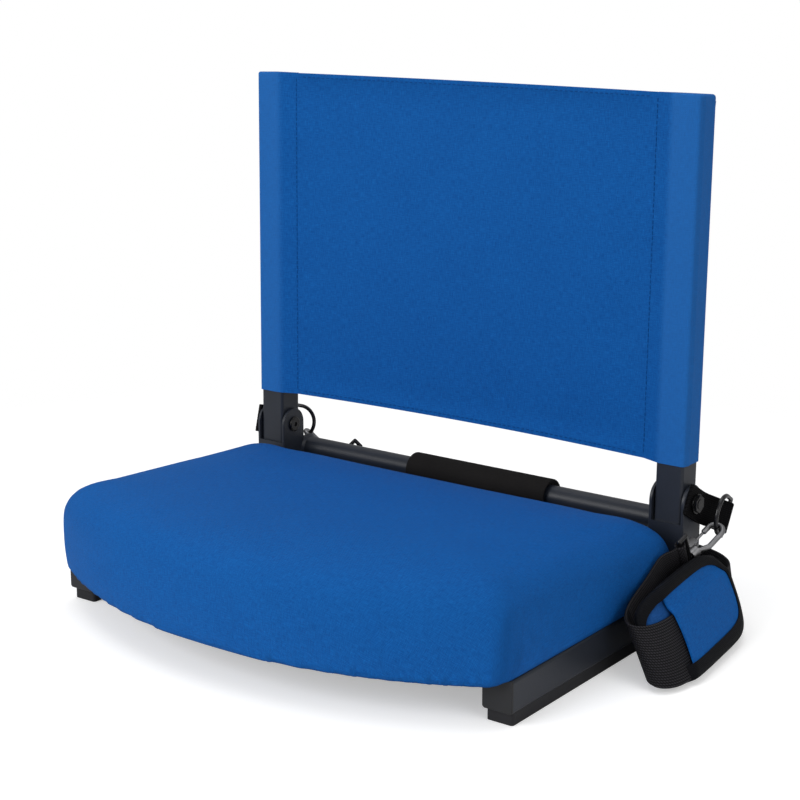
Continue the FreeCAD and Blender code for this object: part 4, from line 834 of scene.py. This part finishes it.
strap_line = smooth_line("strap_line", [row[:3] for row in ROUTE])
strap_edges = [edge.normalized() for edge in smooth_line("strap_edge", [row[3:] for row in ROUTE])]
strap_reach = [0.0]
for before, after in zip(strap_line, strap_line[1:]):
    strap_reach.append(strap_reach[-1] + (after - before).length)
STRAP_LENGTH = strap_reach[-1]


def strap_at(length):
    """A place on the webbing: its middle, the way ahead, the way to its upper edge and the way out of it."""
    index = 1
    while index < len(strap_reach) - 1 and strap_reach[index] < length:
        index += 1
    share = (length - strap_reach[index - 1]) / (strap_reach[index] - strap_reach[index - 1])
    point = strap_line[index - 1].lerp(strap_line[index], share)
    edge = strap_edges[index - 1].lerp(strap_edges[index], min(1.0, max(0.0, share))).normalized()
    first, last = max(0, index - 2), min(len(strap_line) - 1, index + 1)
    ahead = (strap_line[last] - strap_line[first]).normalized()
    return point, ahead, edge, ahead.cross(edge).normalized()


def on_strap(length, up, out):
    """A point beside the webbing's middle line, up towards its edge and out of its face."""
    point, _, edge, outward = strap_at(length)
    return point + edge * up + outward * out


def ribbon(name, stations, width, wall):
    """A flat strip with soft edges through stations of (middle, across, out), with a map in metres."""
    half, thick = width / 2, wall / 2
    section = ((-half, 0), (-half + thick, -thick), (half - thick, -thick), (half, 0), (half - thick, thick),
               (-half + thick, thick))
    points, places = [], []
    run = 0.0
    for number, (middle, across, out) in enumerate(stations):
        if number:
            run += (middle - stations[number - 1][0]).length
        points += [middle + across * side + out * depth for side, depth in section]
        places += [(run, side) for side, _ in section]
    obj = add_mesh(name, points, tube(0, len(stations), len(section)))
    edit_mode("SELECT")
    bpy.ops.mesh.normals_make_consistent(inside=False)
    object_mode()
    lay_map(obj, places)
    round_off(obj, 50)
    return obj


def make_webbing():
    steps = 260
    stations = []
    for step in range(steps + 1):
        point, _, edge, outward = strap_at(STRAP_LENGTH * step / steps)
        stations.append((point, edge, outward))
    pieces = [ribbon("strap_run", stations, STRAP_WIDTH, STRAP_WALL)]
    turn = EYE_BAR + LOOP_GAP + STRAP_WALL / 2
    for side, (eye, pull, across) in EYES.items():
        out = pull.cross(across).normalized()
        loop = []
        for step in range(LOOP_STEPS + 1):
            angle = math.radians(LOOP_START + LOOP_SWEEP * step / LOOP_STEPS)
            away = pull * math.cos(angle) + out * math.sin(angle)
            loop.append((eye + away * turn, across, away))
        pieces.append(ribbon("strap_loop_" + side, loop, STRAP_WIDTH, STRAP_WALL))
    for piece in pieces:
        piece.select_set(True)
    bpy.context.view_layer.objects.active = pieces[0]
    bpy.ops.object.join()
    pieces[0].name = "strap_webbing_run"
    return pieces[0]


def make_ribs():
    """Ribbed webbing on a map in metres: the height of its long ribs crossed by fine picks, and a tone that
    is painted shade, dark in the grooves between them and light on their crests, with random yarn.
    """
    group, given, result = new_group("webbing_ribs", (("Vector", "Vector"), ("Rib", "Float")),
                                     (("Height", "Float"), ("Tone", "Float")))
    work = sums_in(group)
    rib_share, pick_share, yarn_share = 0.65, 0.35, 0.3
    parts = add_node(group, "ShaderNodeSeparateXYZ", (("Vector", given["Vector"]),)).outputs
    across = work("DIVIDE", parts["Y"], given["Rib"])
    along = work("DIVIDE", parts["X"], given["Rib"])
    rib = work("ABSOLUTE", work("SINE", work("MULTIPLY", across, math.pi)))
    slant = work("ADD", work("MULTIPLY", along, math.pi), work("MULTIPLY", across, math.pi / 2))
    pick = work("ABSOLUTE", work("SINE", slant))
    height = work("ADD", work("MULTIPLY", rib, rib_share), work("MULTIPLY", pick, pick_share))
    group.links.new(height, result["Height"])
    yarn = add_node(group, "ShaderNodeTexNoise", (("Vector", given["Vector"]),), Scale=420, Detail=3)
    # Painted shade: the tone follows the ribs and picks, darker in their grooves and lighter on their crests
    mixed = work("ADD", work("MULTIPLY", rib, pick), work("MULTIPLY", yarn.outputs[0], yarn_share))
    contrast = add_node(group, "ShaderNodeMapRange", (("Value", mixed),), From_Min=0.3, From_Max=1.0)
    group.links.new(contrast.outputs["Result"], result["Tone"])
    return group


ribs = make_ribs()


RIBBED_GLOSS = (0.75, 0.6)


def ribbed(name, dark, light, rib, depth, specular):
    return finish_from(name, ribs, ("Rib", rib), (dark, light), RIBBED_GLOSS, depth, specular)


webbing_black = ribbed("webbing_black", (0.001, 0.001, 0.0013), (0.030, 0.029, 0.034), 0.0020, 0.0005, 0.12)
webbing = make_webbing()
dress(webbing, webbing_black, "seat_frame")
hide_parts("strap_webbing")


# Strap tabs: short webbing loops on the outside of each hinge, which hold the D-rings.
# Black webbing folded round the ring's bar, punched for the pivot bolt and clamped under its nut.

TAB_WIDTH = 0.025
TAB_LAYER = 0.0014
TAB_ROOT = 0.012
TAB_BEND = 0.014
TAB_REACH = 0.036
TABS = {"right": (29.4, 30.0), "left": (15.0, 5.0)}
TAB_OUTER, TAB_INNER = 0.0022, 0.0007
TAB_MIDDLE = 0.0015
TAB_GAP = 0.0004
TAB_SPREAD = (0.12, 0.3, 0.5, 0.68)
TAB_BELLY = 0.3
WRAP_START, WRAP_STEP, WRAP_POINTS = 70, 28, 11
RING_WIRE = 0.0035
EAR_X = 0.2185


def make_tab(side):
    """The tab runs from the bolt out to the ring's bar, round it and back, drooped and flared."""
    droop, flare = (math.radians(angle) for angle in TABS[side])
    sign = 1 if side == "right" else -1
    turn = Matrix.Translation((EAR_X, PIVOT.y, PIVOT.z)) @ Matrix.Rotation(-droop, 4, "X")
    across = turn.to_3x3() @ Vector((0, 0, 1))
    tail = Vector((math.sin(flare), math.cos(flare), 0))
    side_way = Vector((math.cos(flare), -math.sin(flare), 0))
    reach = (TAB_REACH - TAB_BEND) / math.cos(flare)
    bend = Vector((0, TAB_BEND, 0))
    middle = bend + side_way * TAB_MIDDLE + tail * reach
    wrap = RING_WIRE / 2 + TAB_GAP + TAB_LAYER / 2
    spread = wrap - TAB_INNER
    clamped = (-TAB_ROOT, -TAB_ROOT / 2, 0, TAB_BEND / 2, TAB_BEND * 0.8)
    path = [Vector((TAB_OUTER, y, 0)) for y in clamped]
    for share in TAB_SPREAD:
        path.append(bend + side_way * (TAB_OUTER + spread * share ** 2) + tail * (reach * share))
    for step in range(WRAP_POINTS):
        angle = math.radians(WRAP_START - WRAP_STEP * step)
        path.append(middle + side_way * (wrap * math.sin(angle)) + tail * (wrap * math.cos(angle)))
    for share in reversed(TAB_SPREAD):
        inward = TAB_INNER - spread * share ** 2 * TAB_BELLY
        path.append(bend + side_way * inward + tail * (reach * share))
    path += [Vector((TAB_INNER, y, 0)) for y in reversed(clamped)]
    stations = []
    for index, point in enumerate(path):
        ahead = path[min(index + 1, len(path) - 1)] - path[max(index - 1, 0)]
        out = Vector((0, 0, 1)).cross(ahead).normalized()
        stations.append((turn @ point, across, turn.to_3x3() @ out))
    flip = Vector((sign, 1, 1))
    stations = [(middle * flip, way * flip, out * flip) for middle, way, out in stations]
    return ribbon("strap_tab_" + side + "_loop", stations, TAB_WIDTH, TAB_LAYER)


tab_black = ribbed("tab_black", (0.0005, 0.0005, 0.0006), (0.004, 0.004, 0.005), 0.0016, 0.0003, 0.06)
for side in TABS:
    tab = make_tab(side)
    dress(tab, tab_black, "seat_frame")
    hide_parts("strap_tab_" + side)


# Shoulder pad: a padded sleeve that rides on the webbing and spreads the load on the shoulder.
# Blue cloth over soft foam with a black bound edge; it lies against the seat's side.

PAD_START = 0.123
PAD_LENGTH = 0.146
PAD_HEIGHT = 0.0726
PAD_LIFT = 0.009
PAD_WALL = 0.009
PAD_ROUND = 3.6
PAD_FACE = -STRAP_WALL / 2 - 0.0004
FLAP_START = 0.157
FLAP_WALL = 0.0014
FLAP_BOW = 0.0035
PAD_TURNS = 144
PAD_RINGS = (0.03, 0.25, 0.5, 0.72, 0.88, 0.97)
FACE_SINK, FACE_ROLL = 0.0006, 0.0022
RIM_SHARE = 0.42
BACK_ROLL = 0.28
PAD_LOWEST = -0.0022
PRESSED = 0.008
FLOOR_GAP = 0.0004


def pad_place(angle, inset=0.0):
    """A point of the pad's outline as (along the webbing, up), drawn in by an inset."""
    share = 2 / PAD_ROUND
    x = math.copysign(abs(math.cos(angle)) ** share, math.cos(angle)) * (PAD_LENGTH / 2 - inset)
    y = math.copysign(abs(math.sin(angle)) ** share, math.sin(angle)) * (PAD_HEIGHT / 2 - inset)
    return PAD_START + PAD_LENGTH / 2 + x, PAD_LIFT + y


def close_tube(obj):
    edit_mode("SELECT")
    bpy.ops.mesh.remove_doubles(threshold=0.00001)
    bpy.ops.mesh.normals_make_consistent(inside=False)
    object_mode()


def skin(name, profile, capped):
    """A skin of closed rings round the pad; profile gives each ring's inset and how far it stands out."""
    points, maps = [], []
    for inset, out in profile:
        for turn in range(PAD_TURNS):
            angle = 2 * math.pi * turn / PAD_TURNS
            along, up = pad_place(angle, inset(angle) if callable(inset) else inset)
            points.append(on_strap(along, up, out(along, up)))
            maps.append((along, up))
    obj = add_mesh(name, points, tube(0, len(profile), PAD_TURNS, capped))
    lay_map(obj, maps)
    return obj


def press_down(obj):
    """The soft pad gives a little where its lower rim lies on the floor."""
    share = (PRESSED - FLOOR_GAP) / (PRESSED - PAD_LOWEST)
    for vertex in obj.data.vertices:
        if vertex.co.z < PRESSED:
            vertex.co.z = PRESSED - (PRESSED - vertex.co.z) * share


def make_pad():
    """Rings from the middle of the pad's face out over its rim and back to the middle of its rear."""
    half = PAD_HEIGHT / 2
    profile = []
    for share in PAD_RINGS:
        sink = FACE_SINK + FACE_ROLL * share ** 6
        profile.append((half * (1 - share), lambda along, up, sink=sink: PAD_FACE - sink))
    profile.append((0.0, lambda along, up: PAD_FACE - PAD_WALL * RIM_SHARE))
    for share in reversed(PAD_RINGS):
        deep = PAD_WALL * (1 - BACK_ROLL * share ** 4)
        profile.append((half * (1 - share), lambda along, up, deep=deep: PAD_FACE - deep))
    obj = skin("shoulder_pad_body", profile, True)
    close_tube(obj)
    press_down(obj)
    round_off(obj, 60)
    return obj


pad_blue = woven("pad_blue", (0.004, 0.05, 0.19), (0.014, 0.085, 0.29), 1000.0, 0.00015)
pad = make_pad()
dress(pad, pad_blue, "seat_frame")
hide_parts("shoulder_pad")


# Keeper flap: the cloth panel that covers the webbing on the pad, held by hook-and-loop.
# Blue canvas with its front edge turned under; its other edges run under the pad's binding.

EDGE_START, EDGE_END = STRAP_WIDTH / 2 - 0.001, STRAP_WIDTH / 2 + 0.006
FLAP_LOW = PAD_FACE + 0.0004 + FLAP_WALL
FLAP_HIGH = STRAP_WALL / 2 + 0.0005 + FLAP_WALL
FLAP_SWELL, SWELL_REACH = 0.0012, 0.045
FLAP_END = PAD_START + PAD_LENGTH - 0.0025
FLAP_INSET = 0.0042
FLAP_MIDDLE = FLAP_START + 0.05


def flap_out(up):
    """How far the flap's outer face stands out of the webbing's middle."""
    over = 1 - rise(abs(up), EDGE_START, EDGE_END)
    swelling = FLAP_SWELL * math.cos(min(1.0, abs(up) / SWELL_REACH) * math.pi / 2)
    return FLAP_LOW + (FLAP_HIGH - FLAP_LOW) * over + swelling


def make_flap():
    """A grid over the webbing on the pad's face, with a bowed front edge and the pad's outline elsewhere."""
    steps, rows = 44, 30
    points, faces, maps = [], [], []
    for step in range(steps + 1):
        share = step / steps
        x = (FLAP_START + (FLAP_END - FLAP_START) * share - PAD_START - PAD_LENGTH / 2) / (PAD_LENGTH / 2)
        half = (PAD_HEIGHT / 2) * (1 - min(1.0, abs(x)) ** PAD_ROUND) ** (1 / PAD_ROUND) - FLAP_INSET
        for row in range(rows + 1):
            height = 2 * row / rows - 1
            up = PAD_LIFT + half * height
            start = FLAP_START + FLAP_BOW * (1 - height ** 2)
            along = start + (FLAP_END - start) * share
            points.append(on_strap(along, up, flap_out(up)))
            maps.append((along, up))
    for step in range(steps):
        for row in range(rows):
            base = step * (rows + 1) + row
            faces.append((base, base + 1, base + rows + 2, base + rows + 1))
    obj = add_mesh("keeper_flap", points, faces)
    lay_map(obj, maps)
    outward = strap_at(FLAP_MIDDLE)[3]
    if sum(face.normal.dot(outward) for face in obj.data.polygons) < 0:
        obj.data.flip_normals()
    thicken(obj, FLAP_WALL)
    press_down(obj)
    round_off(obj, 50)
    return obj


flap = make_flap()
dress(flap, canvas_blue, "seat_frame")
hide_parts("pad_flap")


# Pad binding: the tape folded round the pad's edge, which also traps the flap's edges.
# Black ribbed tape, sewn through all layers with one row of thread.

BINDING = 0.0072
BINDING_LOW = 0.0055
BINDING_RIM = 0.0012
BINDING_WALL = 0.0008
BINDING_PROUD = 0.0009
BINDING_CROWN = 0.0003
BINDING_BACK = PAD_FACE - PAD_WALL * 0.8
BARE_FACE = PAD_FACE - 0.0004
COVER_START, COVER_END = FLAP_START - 0.007, FLAP_START - 0.001


def binding_reach(share):
    """How far in the tape reaches at an angle; it is folded over further along the pad's lower edge."""
    return lambda angle: share * (BINDING + BINDING_LOW * max(0.0, -math.sin(angle)))


def binding_out(along, up):
    """The tape lies on the flap where there is one, and on the pad's face in front of it."""
    covered = rise(along, COVER_START, COVER_END)
    return BARE_FACE + (flap_out(up) - BARE_FACE) * covered + BINDING_PROUD


def under(share):
    """How far the tape stands out, at a share of the way from the pad's face to its rear."""
    return lambda along, up: binding_out(along, up) * (1 - share) + BINDING_BACK * share


def make_binding():
    rim = BINDING_RIM
    profile = ((binding_reach(1), under(0.0)),
               (binding_reach(0.5), lambda along, up: binding_out(along, up) + BINDING_CROWN),
               (rim, under(0.04)), (-rim * 0.6, under(0.25)), (-rim, under(0.5)), (-rim * 0.6, under(0.75)),
               (rim, under(0.98)), (binding_reach(0.5), under(1.05)), (binding_reach(1), under(1.02)))
    obj = skin("pad_binding", profile, False)
    outward = strap_at(PAD_START + PAD_LENGTH / 2)[3]
    outer = [face for face in obj.data.polygons if face.index < PAD_TURNS]
    if sum(face.normal.dot(outward) for face in outer) < 0:
        obj.data.flip_normals()
    thicken(obj, BINDING_WALL)
    press_down(obj)
    round_off(obj, 60)
    return obj


binding_black = ribbed("binding_black", (0.001, 0.001, 0.0015), (0.007, 0.008, 0.011), 0.0011, 0.0002, 0.08)
binding = make_binding()
dress(binding, binding_black, "seat_frame")


# Stage: a pale seamless floor under soft studio light, seen from the front and the right.
# The floor keeps the seat's shadow and turns white towards the background.

FLOOR_SIZE = 12
FLOOR_LEVEL = -0.0003
FLOOR_GLOW = 0.38
FADE_START, FADE_END = 0.3, 0.8


def make_floor():
    """A matt floor that glows a little for the camera and fades out to the background."""
    bpy.ops.mesh.primitive_plane_add(size=FLOOR_SIZE, location=(0, 0, FLOOR_LEVEL))
    floor = bpy.context.object
    floor.name = "studio_floor"
    material, tree, shader = new_material("floor_white")
    shader.inputs["Base Color"].default_value = (0.82, 0.82, 0.82, 1)
    shader.inputs["Roughness"].default_value = 0.9
    shader.inputs["Specular IOR Level"].default_value = 0.0
    seen = tree.nodes.new("ShaderNodeLightPath")
    glow = add_node(tree, "ShaderNodeEmission", Color=(1, 1, 1, 1))
    tree.links.new(stretch(tree, seen.outputs["Is Camera Ray"], 0.0, FLOOR_GLOW), glow.inputs["Strength"])
    both = add_node(tree, "ShaderNodeAddShader",
                    ((0, shader.outputs["BSDF"]), (1, glow.outputs["Emission"])))
    place = tree.nodes.new("ShaderNodeTexCoord")
    away = tree.nodes.new("ShaderNodeVectorMath")
    away.operation = "LENGTH"
    tree.links.new(place.outputs["Object"], away.inputs[0])
    fade = add_node(tree, "ShaderNodeMapRange", (("Value", away.outputs["Value"]),), From_Min=FADE_START,
                    From_Max=FADE_END)
    clear = tree.nodes.new("ShaderNodeBsdfTransparent")
    edge = add_node(tree, "ShaderNodeMixShader",
                    (("Fac", fade.outputs["Result"]), (1, both.outputs[0]), (2, clear.outputs[0])))
    tree.links.new(edge.outputs["Shader"], tree.nodes["Material Output"].inputs["Surface"])
    floor.data.materials.append(material)


make_floor()


def make_world(strength):
    """White behind the seat for the camera, and dimmer as a light on it."""
    world = bpy.data.worlds.new("studio")
    world.use_nodes = True
    bpy.context.scene.world = world
    tree = world.node_tree
    seen = tree.nodes.new("ShaderNodeLightPath")
    back = tree.nodes["Background"]
    back.inputs["Color"].default_value = (1, 1, 1, 1)
    direct = sums_in(tree)("MAXIMUM", seen.outputs["Is Camera Ray"], seen.outputs["Is Transmission Ray"])
    tree.links.new(stretch(tree, direct, strength, 1.0), back.inputs["Strength"])


make_world(0.5)


def soft_light(name, place, aim, size, watts):
    data = bpy.data.lights.new(name, "AREA")
    data.shape = "RECTANGLE"
    data.size, data.size_y = size
    data.energy = watts
    light = bpy.data.objects.new(name, data)
    light.location = place
    light.rotation_euler = (Vector(aim) - Vector(place)).to_track_quat("-Z", "Y").to_euler()
    bpy.context.collection.objects.link(light)


soft_light("key", (-0.9, -2.4, 1.3), (0, 0, 0.2), (1.8, 1.6), 50)
soft_light("top", (-0.3, 0.2, 2.4), (0, 0, 0.1), (2.2, 2.0), 20)
soft_light("fill", (2.3, -0.6, 1.2), (0, 0, 0.2), (1.4, 1.8), 16)

camera_data = bpy.data.cameras.new("camera")
camera_data.lens = 81.36
camera_data.sensor_width = 36.0
camera = bpy.data.objects.new("camera", camera_data)
camera.location = (0.84228, -1.07643, 0.52057)
camera_aim = Vector((-0.00802, 0.06599, 0.16444))
camera.rotation_euler = (camera_aim - camera.location).to_track_quat("-Z", "Y").to_euler()
bpy.context.collection.objects.link(camera)
bpy.context.scene.camera = camera
bpy.context.scene.view_settings.view_transform = "Standard"
